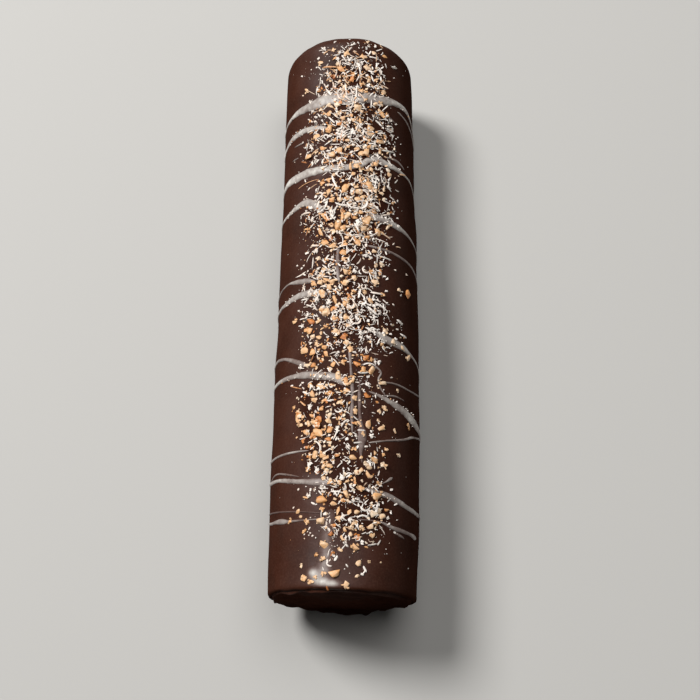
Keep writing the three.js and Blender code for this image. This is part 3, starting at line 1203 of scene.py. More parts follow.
def toppingMaterial(name, look):
    # its colour goes by each piece's tone, made a little blotchy
    material, nodes, links, shader, place = newMaterial(name)
    blotches = noiseNode(nodes, links, place, **look["blotches"])
    blotches = rangeNode(nodes, links, blotches, -look["blotch"], look["blotch"])
    tone = mathNode(nodes, links, "ADD", markNode(nodes, "tone"), blotches)
    links.new(tintNode(nodes, links, tone, look["tints"]), shader.inputs["Base Color"])
    shader.inputs["Roughness"].default_value = look["roughness"]
    grain = noiseNode(nodes, links, place, **look["grain"])
    links.new(bumpNode(nodes, links, grain, look["grainDepth"]), shader.inputs["Normal"])
    return material


# chopped nuts

nuts = {
    "seed": 8,
    # breadth for each millimetre of length, and the middle, spread and limits of their tones
    "middling": {
        "count": 165, "length": (1.6, 3.3), "breadth": (0.55, 0.95),
        "tone": (0.42, 0.21), "toneLimits": (0.05, 0.95), "tilt": 9,
    },
    "small": {
        "count": 555, "length": (0.6, 1.7), "breadth": (0.5, 0.9),
        "tone": (0.36, 0.26), "toneLimits": (0.02, 0.98), "tilt": 16,
    },
    # a few nibs stuck to the side of some larger ones
    "nibs": {
        "share": 0.6, "count": (1, 4), "reach": 0.45, "length": (0.8, 1.6), "breadth": 0.75, "tilt": 15,
    },
    "flatness": (0.4, 0.6),  # thickness for each millimetre of breadth
    "sunk": 0.3,  # share of the thickness that lies in the coat
    "placedTilt": 4,
    "paintedLightPaler": ((-35, -0.05), (0, 0), (35, 0.12)),  # painted light by degrees: they are paler on the right and darker on the left
    "smoothAngle": 45,
    "blotches": {"size": 1.4},
    "blotch": 0.16,
    "tints": ((0.0, "e0cdb5"), (0.3, "d8b590"), (0.55, "cf9b66"), (0.8, "c07739"), (1.0, "8d4c20")),
    "roughness": 0.55,
    "grain": {"size": 0.45},
    "grainDepth": 0.1,
}

# the pieces that stand out: degrees, along, length, breadth, heading, tone from pale to dark orange
placedNuts = [
    (-2, 126.2, 3.3, 2.8, 10, 0.4), (-12.5, 124, 2.6, 2.4, 0, 0.5), (-26, 122.8, 3.2, 2, -10, 0.3),
    (-7, 117, 4.8, 2.8, -50, 0.6), (16.5, 118.3, 4.6, 3.6, 20, 0.3), (2.8, 111, 4.6, 3.4, 80, 0.75),
    (-40.5, 109.8, 3.2, 1.4, -35, 0.35), (-25, 108, 2.4, 1.1, -60, 0.75), (10.5, 108.5, 2.2, 1.6, 0, 0.6),
    (17, 110.8, 3, 2, 60, 0.3), (-14, 129, 2.2, 1.6, 80, 0.4), (7.8, 94.3, 4.6, 3.8, 0, 0.3),
    (29.3, 93.7, 4, 3, -30, 0.65), (-16, 82.8, 5.2, 4.6, -20, 0.5), (-17, 92, 3, 2, 80, 0.5),
    (-18.5, 97.2, 3.2, 2.6, 20, 0.2), (-15.5, 95.8, 2.2, 1.6, 0, 0.3), (-4, 100.5, 2.6, 2, 60, 0.3),
    (23.5, 98.4, 3, 2.4, 20, 0.35), (28, 99.6, 2.6, 1.6, 10, 0.45), (27.5, 94.8, 2.8, 2.2, 0, 0.4),
    (14.5, 104, 2.4, 1.6, 20, 0.5), (16, 99.5, 2.2, 1.6, 0, 0.45), (11, 104.5, 2, 1.4, 0, 0.4),
    (18.8, 83.8, 4.6, 4.4, 90, 0.45), (28, 77.5, 4.8, 3.4, -15, 0.5), (-29, 80.3, 4.4, 2.4, 10, 0.4),
    (-36, 70, 4.2, 2.6, 0, 0.4), (6.5, 71.5, 3, 2.6, 0, 0.4), (10.5, 69.3, 3.6, 3, -30, 0.45),
    (14, 69.5, 4, 2.6, 85, 0.45), (-8.5, 70.2, 3.6, 3, 80, 0.5), (-14, 68.5, 3.2, 3, 60, 0.4),
    (28, 71.8, 2.8, 2.4, 0, 0.45), (23, 64.8, 3.6, 2.4, 70, 0.5), (36.5, 60.8, 3, 2.4, 20, 0.45),
    (3, 87.5, 2.4, 2, 90, 0.4), (9.5, 87.5, 3, 1.6, 90, 0.55), (-5.5, 88.5, 3, 2.2, 0, 0.35),
    (7, 82.5, 3, 2, -50, 0.4), (16.5, 76.5, 4, 2, 70, 0.5), (-1.5, 76, 2.6, 2.4, 0, 0.4),
    (-12, 76.5, 2.6, 1.6, 60, 0.45), (-21, 72.5, 2.4, 1.6, 0, 0.4), (1.2, 61.5, 4, 1.6, 85, 0.45),
    (10.5, 60.5, 2.4, 2.4, 0, 0.45), (19, 60.8, 2.6, 2, 80, 0.4), (3.5, 57.5, 2.2, 2.2, 0, 0.45),
    (-3, 49.3, 5.2, 3.4, 85, 0.5), (8.3, 48, 3.6, 3.4, 30, 0.35), (17, 51.8, 4.6, 3.4, -60, 0.55),
    (5.5, 50.3, 3, 1.8, 20, 0.4), (-17, 48, 3.8, 2.4, 75, 0.45), (-13.5, 43.5, 2.8, 2.4, 0, 0.5),
    (-22, 53.5, 2.8, 1.6, 0, 0.55), (-16.5, 55.2, 3, 1.6, 15, 0.5), (7, 43.5, 3.2, 2.8, 20, 0.4),
    (11, 45, 2.6, 2.4, 60, 0.4), (-7, 43.3, 2.8, 2.4, 0, 0.35), (16.8, 40.8, 3.4, 2.4, 75, 0.55),
    (10, 36.8, 2.6, 2.2, 0, 0.5), (-1, 34.5, 4.2, 3, 80, 0.35), (-5, 35, 3.6, 1.8, 85, 0.5),
    (5, 33.8, 2.4, 2, 0, 0.6), (14.5, 33, 6, 3.6, 70, 0.45), (-35.5, 30.8, 4, 1.8, -30, 0.5),
    (-20.5, 35.5, 5, 2, -65, 0.5), (-9, 29.8, 5.8, 3.8, 75, 0.5), (-4, 28.3, 3.6, 3, -50, 0.5),
    (-23, 27, 5, 2, -65, 0.45), (11.5, 28.3, 3.2, 3, 0, 0.35), (23.5, 27.5, 4, 2.4, -60, 0.5),
    (-18.5, 21, 3.8, 3.4, 20, 0.5), (6.5, 20.8, 3.6, 3.2, 80, 0.55), (15, 24, 2.4, 2.2, 0, 0.65),
    (29.5, 52, 3.6, 1.8, 65, 0.35), (26.5, 49, 2.4, 2, 0, 0.3), (21.5, 49.5, 2.6, 2, 70, 0.35),
    (33.5, 32, 4.4, 1.8, 60, 0.35), (-12, 19.2, 4, 2.4, 40, 0.45), (20.5, 17.3, 2.6, 2.2, 0, 0.4),
    (-4, 15.5, 4, 2.8, -15, 0.55), (-3.5, 12, 2.4, 2, 0, 0.5), (-2, 5.3, 3, 2.8, 90, 0.35),
    (-2, 0, 3.2, 3, 80, 0.4), (4.8, 2.5, 3.2, 2, -60, 0.4), (21, 1.3, 3.4, 2.8, 10, 0.35),
    (-28, 1.5, 3, 2.8, 0, 0.5), (-22, 1, 2.8, 2.4, 0, 0.35), (-18, 2.3, 2.6, 2.2, 0, 0.45),
    (-12.5, 0.8, 3, 2.4, 0, 0.4), (-14.5, -1.6, 3, 2.8, 80, 0.4), (-20, -4.5, 4.6, 3, -70, 0.4),
    (-10, -8.3, 5.2, 1.8, -78, 0.5), (-17.3, -14.3, 4.2, 3.8, 20, 0.3), (-29.5, -17.2, 4.6, 2.8, -45, 0.85),
    (-45.5, -15.5, 3, 1.8, 0, 0.35), (13, -4.3, 2.4, 2.4, 0, 0.45), (18, -8.5, 3, 2.8, 0, 0.45),
    (27, -3.5, 2.2, 1.6, 0, 0.6), (44, 1, 2.2, 1.8, 0, 0.4), (54.3, 0.6, 5, 3.3, 60, 0.8),
    (-1.2, -16.8, 3, 2.8, 0, 0.4), (-10.5, -17, 3, 2.2, 85, 0.5), (-23, -18, 2.6, 2.4, 0, 0.3),
    (-31, -21.8, 3.6, 3.2, 60, 0.5), (-17, -21, 2.4, 1.8, 0, 0.5), (30.5, -21.5, 2.6, 2, 0, 0.35),
    (-28, -25, 2.4, 2, 0, 0.2), (-22.5, -26, 2.8, 2.2, 0, 0.35), (-23.5, -28.8, 3, 2, 0, 0.4),
    (-34.5, -31, 4, 3.4, 0, 0.4), (-27, -32.7, 3.8, 3.4, 0, 0.5), (-17.5, -31.2, 2.6, 2.2, 0, 0.45),
    (-16, -34.4, 3.6, 2, -70, 0.5), (-3, -26.3, 3.6, 2.8, 85, 0.85), (2.5, -31.8, 3.6, 2.8, -35, 0.5),
    (7.8, -39.9, 3.6, 3.4, 0, 0.75), (19, -41.8, 4.2, 2.8, 80, 0.45), (18.5, -36.5, 2.4, 1.4, 80, 0.6),
    (12.5, -42, 3, 2.2, 80, 0.55), (-6, -45, 4.4, 3, 80, 0.35), (0.5, -49.5, 2.8, 2.6, 30, 0.35),
    (-10.5, -39.5, 3, 2.2, 70, 0.55), (-3, -38.5, 2.8, 2, -60, 0.5), (-19.5, -49.5, 4.4, 2.6, -30, 0.45),
    (-26, -53, 3.4, 2, -65, 0.45), (-24, -56, 2.6, 2.4, 0, 0.35), (-42, -57.3, 3.2, 1.6, 10, 0.5),
    (15.5, -54, 2.8, 2.2, 0, 0.9), (6, -55.5, 2.4, 2.2, 0, 0.4), (4.5, -47, 3.2, 2, 85, 0.4),
    (28, -47, 4, 1.8, 10, 0.35), (38, -26, 3.6, 2.8, 30, 0.3), (55.5, -30.8, 3.6, 2.4, 70, 0.45),
    (47.5, -27.8, 3.4, 1.8, -35, 0.35), (55, -63.5, 3, 2.2, 80, 0.6), (30.3, -58.5, 2.4, 1.6, 80, 0.45),
    (25.5, -60.3, 2, 1.6, 0, 0.35), (-18.5, -60.2, 2.4, 2.2, 0, 0.5), (-31, -39, 3.6, 2.8, 10, 0.12),
    (-5, -57.5, 3, 1.6, 20, 0.35), (7, -61.5, 3, 2, -60, 0.4), (-38.5, -63.5, 4, 1.8, -55, 0.4),
    (-34.5, -66.5, 2.2, 1.8, 0, 0.3), (-19.5, -65, 3.4, 2.8, -45, 0.75), (-23.5, -66.2, 3.2, 2.4, 0, 0.4),
    (-28, -66.5, 3, 1.8, -60, 0.35), (-12.5, -66, 3, 2.8, 0, 0.35), (-20.5, -71.5, 5.8, 4.4, -15, 0.5),
    (-11.5, -70.2, 3, 2.8, 90, 0.6), (-31, -70, 3.4, 1.8, -60, 0.5), (-12.3, -74.5, 2.6, 2.2, 20, 0.7),
    (16.8, -67, 4.8, 3.2, -80, 0.5), (10, -67, 3, 1.6, -30, 0.45), (27, -68.2, 3.6, 2, 20, 0.45),
    (24.8, -64.6, 1.6, 1.4, 0, 0.35), (39, -68, 2.4, 1.8, 80, 0.4), (-22, -81, 4.2, 3, -75, 0.4),
    (-14, -82.5, 3, 1.8, 20, 0.4), (5.7, -82.6, 3.4, 2.4, -20, 0.45), (11.5, -82.6, 2, 1.6, 80, 0.45),
    (31, -77.6, 1.6, 1.4, 0, 0.5), (42.8, -78.5, 2, 1.4, 20, 0.35), (28.3, -84.8, 2, 1.8, 0, 0.3),
    (30.5, -85.5, 1.4, 1.2, 0, 0.4), (-11, -86.2, 2.8, 2, 0, 0.45), (17, -89.8, 4, 1.8, -60, 0.5),
    (11.3, -95.7, 3, 2.8, 0, 0.5), (1.3, -98.7, 3.8, 2.2, -75, 0.45), (24, -98.7, 5, 3.6, 20, 0.55),
    (2, -93, 2.4, 2, 0, 0.4), (7, -92, 2.4, 1.6, 85, 0.5), (22, -80, 2.2, 1.4, 80, 0.5),
    (-16, -101, 5, 3.6, -15, 0.6), (-7, -103, 3.2, 2.8, 20, 0.4), (-4, -106, 4, 1.4, 75, 0.5),
    (-35, -105, 2.4, 2, 0, 0.35), (-15, -105, 2, 1.8, 0, 0.45), (-32.5, -107.5, 1.7, 1.4, 0, 0.4),
    (-27, -110, 2, 1.6, 0, 0.4), (-42.5, -108.8, 2.4, 1.2, 0, 0.4), (-16.7, -110.2, 3.6, 3.4, 0, 0.3),
    (-29.5, -113.8, 1.8, 1.2, 0, 0.5), (-7.3, -112.4, 2, 1.8, 0, 0.7), (-8.7, -115.6, 2.4, 1.8, 60, 0.9),
    (-13.5, -120.6, 4.2, 3, -20, 0.4), (-1, -117.4, 2.4, 1.4, -60, 0.4), (9, -121.4, 3.6, 2.4, -30, 0.5),
    (-1.5, -122.6, 2, 1.4, 0, 0.35), (29, -107.3, 3.4, 2.8, 0, 0.35), (24, -110.6, 2.8, 2.2, 0, 0.45),
    (20, -112.2, 3, 2.2, 50, 0.4), (21, -116, 2.6, 1.8, -20, 0.45), (9.5, -106.2, 2.6, 2.2, 0, 0.4),
    (4, -106.5, 2.8, 1.8, 60, 0.45), (8.5, -110.8, 2.4, 2.2, 0, 0.4), (6, -112.8, 2.6, 2, 70, 0.35),
    (13, -112.6, 2.2, 1.8, 0, 0.4), (5.5, -115.8, 2, 1.8, 60, 0.35), (1, -114, 2.4, 1.4, -60, 0.4),
    (25, -105, 3.2, 2.6, 0, 0.2), (-14, -126.2, 2.2, 1.6, 30, 0.35), (-19, -124.6, 1.5, 1.3, 0, 0.55),
    (-32, -129, 1.9, 1.3, 80, 0.2), (12, -127.8, 3, 2.4, 30, 0.35), (10.8, -133, 1.6, 1.4, 0, 0.3),
    (-29, -134.4, 2.6, 2.4, 60, 0.45), (-23.5, -135.6, 2.2, 1.6, 20, 0.4), (-5, -132.4, 5, 3.2, 25, 0.5),
    (3, -137, 3.2, 2.4, 60, 0.35), (-12.5, -132.3, 1.6, 1.3, 0, 0.35), (-19.8, -133.8, 1.4, 1.1, 0, 0.35),
    (-10.5, -138.4, 1.6, 1.4, 80, 0.9), (20, -126.6, 1.2, 0.9, 0, 0.4), (29, -126.5, 0.9, 0.8, 0, 0.45),
    (-14.5, -132.8, 1.4, 1.1, 0, 0.4), (-25.8, 48.3, 2.8, 1.3, -15, 0.4), (43, -48.5, 1.8, 1.2, 0, 0.35),
    (12.8, -72, 2, 1.2, -20, 0.45), (27, 11.2, 2.8, 2, 0, 0.25), (32.3, -104.2, 2.4, 1.3, 10, 0.75),
    (-28.5, -99.4, 3, 1, -12, 0.5),
]


nutStore = []
nutRng = np.random.default_rng(nuts["seed"])


def addNut(chunks, place, length, breadth, heading, tone, tilt):
    # painted light: tones paler on the right, darker on the left
    tone = tone - np.interp(place[0], *zip(*nuts["paintedLightPaler"]))
    thickness = breadth * nutRng.uniform(*nuts["flatness"])
    shape, faces = chunkOf(nutRng, chunks, length, breadth, thickness)
    shape = turned(shape, nutRng, tilt, heading)
    addTopping(nutStore, shape, faces, place, nuts["sunk"] * thickness, tone)


def addScatteredNut(kind, chunks, place):
    length = nutRng.uniform(*kind["length"])
    tone = np.clip(nutRng.normal(*kind["tone"]), *kind["toneLimits"])
    breadth = length * nutRng.uniform(*kind["breadth"])
    addNut(chunks, place, length, breadth, None, tone, kind["tilt"])
    return length, tone


def addNibs(place, length, tone):
    nibs = nuts["nibs"]
    if nutRng.uniform() >= nibs["share"]:
        return
    reach = nibs["reach"] * length
    for _ in range(nutRng.integers(*nibs["count"])):
        bearing = nutRng.uniform(0, fullTurn)
        degrees = place[0] + math.degrees(reach * math.cos(bearing) / roundRadius)
        along = place[1] + reach * math.sin(bearing)
        nibLength = nutRng.uniform(*nibs["length"])
        nibBreadth = nibs["breadth"] * nibLength
        addNut(sharpChunks, (degrees, along), nibLength, nibBreadth, None, tone, nibs["tilt"])


for degrees, along, length, breadth, heading, tone in placedNuts:
    addNut(wornChunks, (degrees, along), length, breadth, heading, tone, nuts["placedTilt"])
    keepClear(degrees, along, length, breadth, heading)
    addNibs((degrees, along), length, tone)
for place in scatterPlaces(nutRng, nuts["middling"]["count"], "middlingNut"):
    addNibs(place, *addScatteredNut(nuts["middling"], wornChunks, place))
print(f"nuts: {len(nutStore)} large and middling ones and their nibs lie")


# desiccated coconut

coconut = {
    "seed": 17,
    "shreds": 1205,
    "length": (1.2, 4.3),
    "lengthShape": (1.3, 2.4),  # of the beta curve that makes most of them short
    "width": (0.36, 0.68),
    "longThinner": 0.25,
    "backFrom": (-45, 15),  # along which they turn longer and wider, towards the back
    "backLonger": 1.8,
    "backWider": 1.18,
    "bend": 26,  # degrees over a shred, as a spread
    # along the roll, and the share of them that curl up there
    "curled": ((-100, 0.08), (-40, 0.1), (-15, 0.26), (25, 0.24), (60, 0.14), (130, 0.08)),
    "curl": (110, 240),
    "thickness": (0.35, 0.6),  # for each millimetre of width
    "arch": (0.02, 0.04),  # how far they rise in the middle for each millimetre of length
    "twist": 0.7,
    "twistAlong": 0.8,
    # the width left at a distance t from the middle, 1 at the tips: first - second * t ** third
    "taper": (1.25, 1.1, 3),
    "leastTaper": 0.35,
    "taperUneven": 0.12,
    "sides": 6,
    "rings": {"short": 5, "curled": 10, "placed": 17},
    "tilt": 9,
    "placedTilt": 3,
    "sunk": 0.12,
    "flakes": {
        "count": 560, "length": (0.7, 1.8), "breadth": (0.45, 0.85), "thickness": (0.3, 0.5), "tilt": 14,
    },
    # a flake as a share of the tuft's size, with shreds over it
    "tufts": {
        "flake": 0.55, "tone": 0.06, "tilt": 6, "shreds": 7, "lengths": (0.5, 0.9), "spread": 0.22,
        "bend": 45, "tones": (0, 3),
    },
    "toasted": 0.16,  # share of them that is browned
    "toastedTone": (0.5, 0.8),
    "toastedFrom": 20,  # behind this place more of the shreds are browned, before it fewer
    "toastedMore": 1.7,
    "toastedFewer": 0.6,
    # the others are pale: the shape of the beta curve for each kind, and its darkest tone
    "paleShape": {"shred": (1.3, 4), "flake": (1.3, 5), "crumb": (1.5, 5)},
    "paleUpTo": 0.5,
    "paintedLightWhiter": ((-30, -0.17), (0, -0.12), (35, 0.04)),  # painted light by degrees: they are whiter on the right and darker on the left
    "smoothAngle": 50,
    "blotches": {"size": 1.0, "detail": 2},
    "blotch": 0.06,
    "tints": (
        (0.0, "f0e7dd"), (0.15, "e3dad0"), (0.48, "d8c4b3"),
        (0.7, "cda47c"), (0.87, "bb7841"), (1.0, "854724"),
    ),
    "roughness": 0.6,
    "grain": {"size": 0.3, "detail": 2},
    "grainDepth": 0.05,
}

# threads and curls that stand out: degrees, along, length, width, heading, bend, tone from white to brown
placedShreds = [
    (-17, 118.7, 8.4, 0.8, -8, 15, 0.62), (11, 114, 5.8, 0.7, 38, 5, 0.6),
    (27.5, 111, 6.8, 0.6, 60, -40, 0.66), (35, 113.8, 6, 0.5, 20, 25, 0.74),
    (24.5, 126, 5, 0.5, 88, 10, 0.64), (-3, 104.5, 8.5, 0.8, -83, 8, 0.1),
    (-9, 101.5, 6.5, 0.8, -75, 60, 0.2), (-5.5, 102, 5, 0.7, 70, -80, 0.35),
    (-2, 99.5, 4.5, 0.7, -50, 30, 0.3), (5.5, 99, 5.5, 0.6, 88, 10, 0.1),
    (11.5, 100.3, 6.5, 0.55, -48, 8, 0.5), (18.5, 102.5, 4.5, 0.7, 60, -30, 0.1),
    (22.5, 103, 4, 0.7, 75, 20, 0.08), (28.5, 103.2, 3.6, 0.8, 15, 10, 0.3),
    (2.5, 103.5, 4, 0.6, -60, 40, 0.25), (6, 104, 7, 0.7, 85, -12, 0.12),
    (8.5, 118, 8.5, 0.7, -76, -30, 0.08), (-14.5, 107.5, 6.5, 0.9, 80, 90, 0.4),
    (-18, 104.2, 5.5, 0.8, -60, 10, 0.05), (16, 127.3, 2.8, 0.9, -40, 0, 0.05),
    (18.2, 127.8, 2.6, 0.8, 65, 0, 0.05), (43.5, 124.3, 4.2, 1.1, 12, 5, 0.2),
    (-4, 122.5, 5, 0.6, -65, 10, 0.12), (24.5, 121.5, 3.4, 0.8, 80, 10, 0.1),
    (34, 123, 2.8, 0.9, -75, 10, 0.1), (30, 121, 2.6, 0.8, 50, 0, 0.1), (30, 117, 4, 0.5, -10, 20, 0.15),
    (-21.5, 92.5, 6, 0.45, -50, 0, 0.5), (-15.3, 88.2, 5, 0.9, -50, -10, 0.05),
    (-5.5, 85, 8, 0.55, -50, 5, 0.45), (8.5, 81.5, 7, 0.5, -55, 8, 0.5), (29.5, 82.8, 5, 0.8, 10, -70, 0.1),
    (34.5, 78.6, 6, 0.7, 10, -140, 0.1), (36, 73.7, 8.6, 0.85, 12, 20, 0.1),
    (0.5, 73, 7, 0.5, 5, 20, 0.55),
    (-6.5, 65.5, 6, 0.7, 0, -110, 0.1), (-21, 66.8, 5.4, 0.5, 75, 5, 0.62),
    (-13.5, 62.5, 4.6, 0.5, -62, 5, 0.6), (-4.5, 77.3, 5, 0.5, 48, 0, 0.45),
    (-18.5, 79.5, 4.4, 0.8, -30, 10, 0.05), (-34, 75.5, 4.4, 0.6, -60, 10, 0.1),
    (26, 88, 4.4, 0.8, -35, -30, 0.1), (37, 88, 3.4, 0.8, 30, 0, 0.08), (-12, 53, 9.5, 0.9, -68, 20, 0.05),
    (12.3, 54, 12, 1.1, 0, 330, 0.66), (-6, 40.5, 6.5, 0.9, -10, 80, 0.05), (3, 39.5, 8, 0.8, -20, 150, 0.1),
    (32, 45, 4, 0.7, -10, 0, 0.15), (33.5, 42.3, 4.6, 0.6, 75, 0, 0.1), (38, 48.3, 3.4, 0.8, -20, 5, 0.1),
    (25, 31.5, 5.4, 0.6, 50, -60, 0.1), (6, 27.5, 5, 0.9, -65, -20, 0.05),
    (-37, 38.9, 6.4, 0.8, 2, -40, 0.25), (12.5, 40, 6, 0.9, 60, 100, 0.05), (-18, 41, 4, 1, 70, 20, 0.05),
    (18, 57, 3.6, 0.8, 35, 5, 0.1), (30, 14.9, 8, 0.6, -4, 10, 0.15), (8.5, 11, 4, 0.9, 60, 60, 0.35),
    (14, 7, 9, 0.8, 0, 300, 0.3), (12, -1.5, 6, 0.7, 0, 320, 0.3), (9, -5, 5, 0.9, 80, 20, 0.1),
    (5, -9.5, 6, 0.7, -60, 20, 0.4), (22.5, -4.2, 6, 0.9, 0, 15, 0.3), (2.8, -11.8, 7, 0.7, 0, 300, 0.45),
    (6, -19, 8, 0.9, 0, 210, 0.3), (19, -13, 6, 0.9, -40, 10, 0.1), (28, -10.5, 5, 0.8, -35, 20, 0.05),
    (-41.5, 8, 6.2, 0.7, 13, 12, 0.15), (-33, -14.5, 3.6, 0.9, 60, 10, 0.05),
    (45, -15.3, 4.6, 1.1, -20, 15, 0.05), (-8, -38.5, 5, 0.5, -50, -20, 0.3),
    (17, -39, 6.4, 0.6, 5, -70, 0.05), (12.5, -43.5, 5, 0.9, 5, 40, 0.08), (22, -33.5, 4, 0.4, -5, 20, 0.5),
    (15.5, -32, 4, 0.5, -70, 100, 0.4), (-42, -48, 8, 0.45, -22, 10, 0.66),
    (-5, -61.5, 5.2, 0.8, 10, 190, 0.1), (-1, -67, 5, 0.7, 50, -70, 0.08), (-7, -72.5, 5, 0.7, 70, 10, 0.12),
    (9, -76, 3.6, 0.8, 8, 5, 0.05), (-19, -77.5, 7, 0.9, -70, -120, 0.12), (-6, -97.6, 4, 0.7, 0, 10, 0.08),
    (-32, -72.8, 3.6, 0.5, 10, 30, 0.15), (15.5, -104.8, 6, 0.9, 0, 170, 0.1),
    (14, -108, 5, 0.8, 0, -90, 0.1), (30, -113.5, 3.6, 0.5, -50, -10, 0.4),
    (22, -119.6, 4.2, 0.8, 15, 0, 0.15), (27, -118.4, 2.6, 0.9, 60, 0, 0.05),
    (2, -120.2, 3, 0.9, -40, 0, 0.08), (-14, -112.8, 2, 0.7, 15, -30, 0.1),
    (10, -117.2, 4.4, 0.6, 12, 5, 0.5), (-4.6, -126, 2.6, 1.1, 60, 10, 0.05),
    (-11, -127.5, 2.4, 0.8, 80, 60, 0.08), (-9.5, -129.2, 2.6, 0.7, -20, 80, 0.08),
    (16.5, -130, 2.8, 0.9, -60, 10, 0.08), (20, -119.9, 2.6, 0.7, 10, 0, 0.1),
    (-35.2, 107.2, 5.6, 0.45, -40, 8, 0.4), (-29.5, 107.5, 2.6, 0.5, 60, 0, 0.25),
    (-26.8, 92, 3, 0.6, -62, 0, 0.12), (36.5, 85.2, 3.4, 0.7, -12, 10, 0.1),
    (36, 87.8, 3, 0.7, 25, 0, 0.1), (53, 64.8, 5.6, 0.9, 18, 5, 0.72), (-38, 55.9, 13, 0.4, 6, -6, 0.6),
    (-31, 53.2, 4.6, 0.35, 20, 0, 0.5), (-39.6, 57.8, 2.4, 0.6, -65, 10, 0.1),
    (-30.5, 35.2, 3.2, 0.8, 80, 10, 0.3), (-25, 42, 4.2, 0.9, 72, 15, 0.15),
    (-24.5, 36.5, 4, 0.5, 25, 0, 0.15), (44.5, 54, 2.6, 0.5, 0, 0, 0.35),
    (43.5, 58.5, 2.2, 0.6, 50, 0, 0.15), (-33, 6.3, 2.8, 0.6, 80, -60, 0.2),
    (-27.5, 20.8, 4.4, 0.9, -10, 15, 0.25), (44, 23.3, 3.6, 0.7, 10, 0, 0.66),
    (38.8, 24, 2.2, 0.6, 45, 0, 0.4), (35.5, 27, 3.4, 0.4, 20, 0, 0.5),
    (-36, -15.5, 4.2, 0.7, -2, 5, 0.08), (-34.8, -6.8, 2.4, 0.6, 50, 0, 0.1),
    (-35, -9.5, 3.4, 0.4, -12, 0, 0.3), (49.5, -21.3, 5, 0.9, -8, 30, 0.1),
    (30.5, -7.3, 3.4, 0.6, -30, 10, 0.2), (33, -8.2, 2, 0.5, 10, 0, 0.2),
    (31, -33.4, 3.6, 0.4, 0, 0, 0.55), (36, -31.5, 2.6, 0.6, 30, -20, 0.15),
    (-33.8, -56.6, 4, 0.8, -42, 10, 0.6), (-32.5, -51.5, 3, 0.9, -30, 10, 0.1),
    (11.5, -70.2, 3.4, 0.6, 0, 5, 0.1), (-17.2, -97.8, 2.6, 0.6, -50, 0, 0.08),
]

# little bits that lie apart: degrees, along, length, breadth, heading, tone from white to brown
placedBits = [
    (-47, 120, 2, 0.9, -40, 0.1), (-35.5, 121, 1, 0.8, 0, 0.2), (-45.5, 108, 1.2, 0.8, -20, 0.4),
    (-37.8, 92, 2.2, 0.8, -50, 0.2), (-34.3, 90, 1.6, 0.7, -50, 0.2), (-44, 79.8, 1.8, 1.1, 0, 0.1),
    (-46.5, 74, 1.2, 0.8, 0, 0.4), (45, 91.5, 1.6, 0.8, 40, 0.15), (43.5, 78.5, 1.4, 0.6, 50, 0.15),
    (45, 76.3, 1.4, 0.6, 30, 0.15), (40, 84, 1.8, 0.8, 10, 0.1), (-35.2, 52.3, 2, 1, 25, 0.05),
    (-37.5, 48.5, 1, 0.8, 0, 0.3), (38.5, 40, 1.6, 0.9, 20, 0.1), (43.5, 38.8, 1.4, 0.8, 0, 0.1),
    (41.5, 47, 1.6, 0.7, -30, 0.15), (44.5, 48.5, 1.4, 0.9, 60, 0.1), (43.5, 34.2, 2, 1.4, 70, 0.1),
    (45.5, 60, 1.6, 0.6, 40, 0.2), (-35, 18, 1.9, 1.4, 20, 0.1), (-46, 13.7, 1.5, 0.9, -20, 0.1),
    (-40.5, 11, 1.4, 1.1, 0, 0.05), (-38.5, 12.3, 1, 0.8, 0, 0.2), (39.5, 10.3, 1.2, 1, 0, 0.4),
    (54.5, 11, 2, 1.3, 0, 0.5), (29.3, 5.3, 1.4, 1, 0, 0.1), (31.8, 4.5, 1.8, 0.9, 45, 0.1),
    (46.5, -1.2, 1.8, 1.1, 30, 0.1), (47.5, 0.9, 1.4, 0.6, 0, 0.35), (31, -1.8, 1.4, 1, 0, 0.15),
    (-42, -10.3, 1.6, 1, 0, 0.1), (42, -19, 1.6, 1, 20, 0.3), (35.5, -22.3, 1.6, 1, 0, 0.05),
    (38, -7.5, 1.4, 1, 0, 0.35), (36.5, -43.3, 1.6, 0.7, 30, 0.35), (-37.5, -47.3, 1.6, 1, 30, 0.15),
    (-35.3, -46.4, 1.6, 0.9, 0, 0.1), (-46.5, -46.3, 1.8, 0.8, -20, 0.1), (-39.5, -53, 1, 0.6, 0, 0.3),
    (-35.5, -53, 1, 0.7, 0, 0.2), (36.5, -94.9, 1.6, 1, 10, 0.2), (40.5, -100.9, 2.2, 0.7, 25, 0.15),
    (34, -110.1, 1.8, 0.9, 25, 0.1), (40, -113.3, 1.3, 1, 0, 0.1), (-35.3, -95.4, 1.2, 1, 20, 0.2),
    (-39.3, -102.9, 1.2, 0.8, 30, 0.3), (-24.8, -96.2, 1.4, 0.9, 80, 0.1), (-21.5, -96.3, 1.4, 0.9, 0, 0.1),
    (-22.5, -102.2, 2, 1, -30, 0.1), (-13.5, -107, 1.8, 1, 30, 0.1), (-25.3, -112.9, 1.6, 0.6, 55, 0.1),
    (-29.5, -115.3, 0.9, 0.7, 0, 0.2), (-29.3, -117, 0.9, 0.7, 0, 0.4), (-25.6, -115.7, 0.9, 0.7, 30, 0.15),
    (-24.6, -114.9, 0.8, 0.6, 0, 0.1), (-22.8, -116.2, 1, 0.8, 40, 0.2), (-26.8, -114.2, 0.8, 0.6, 0, 0.3),
]

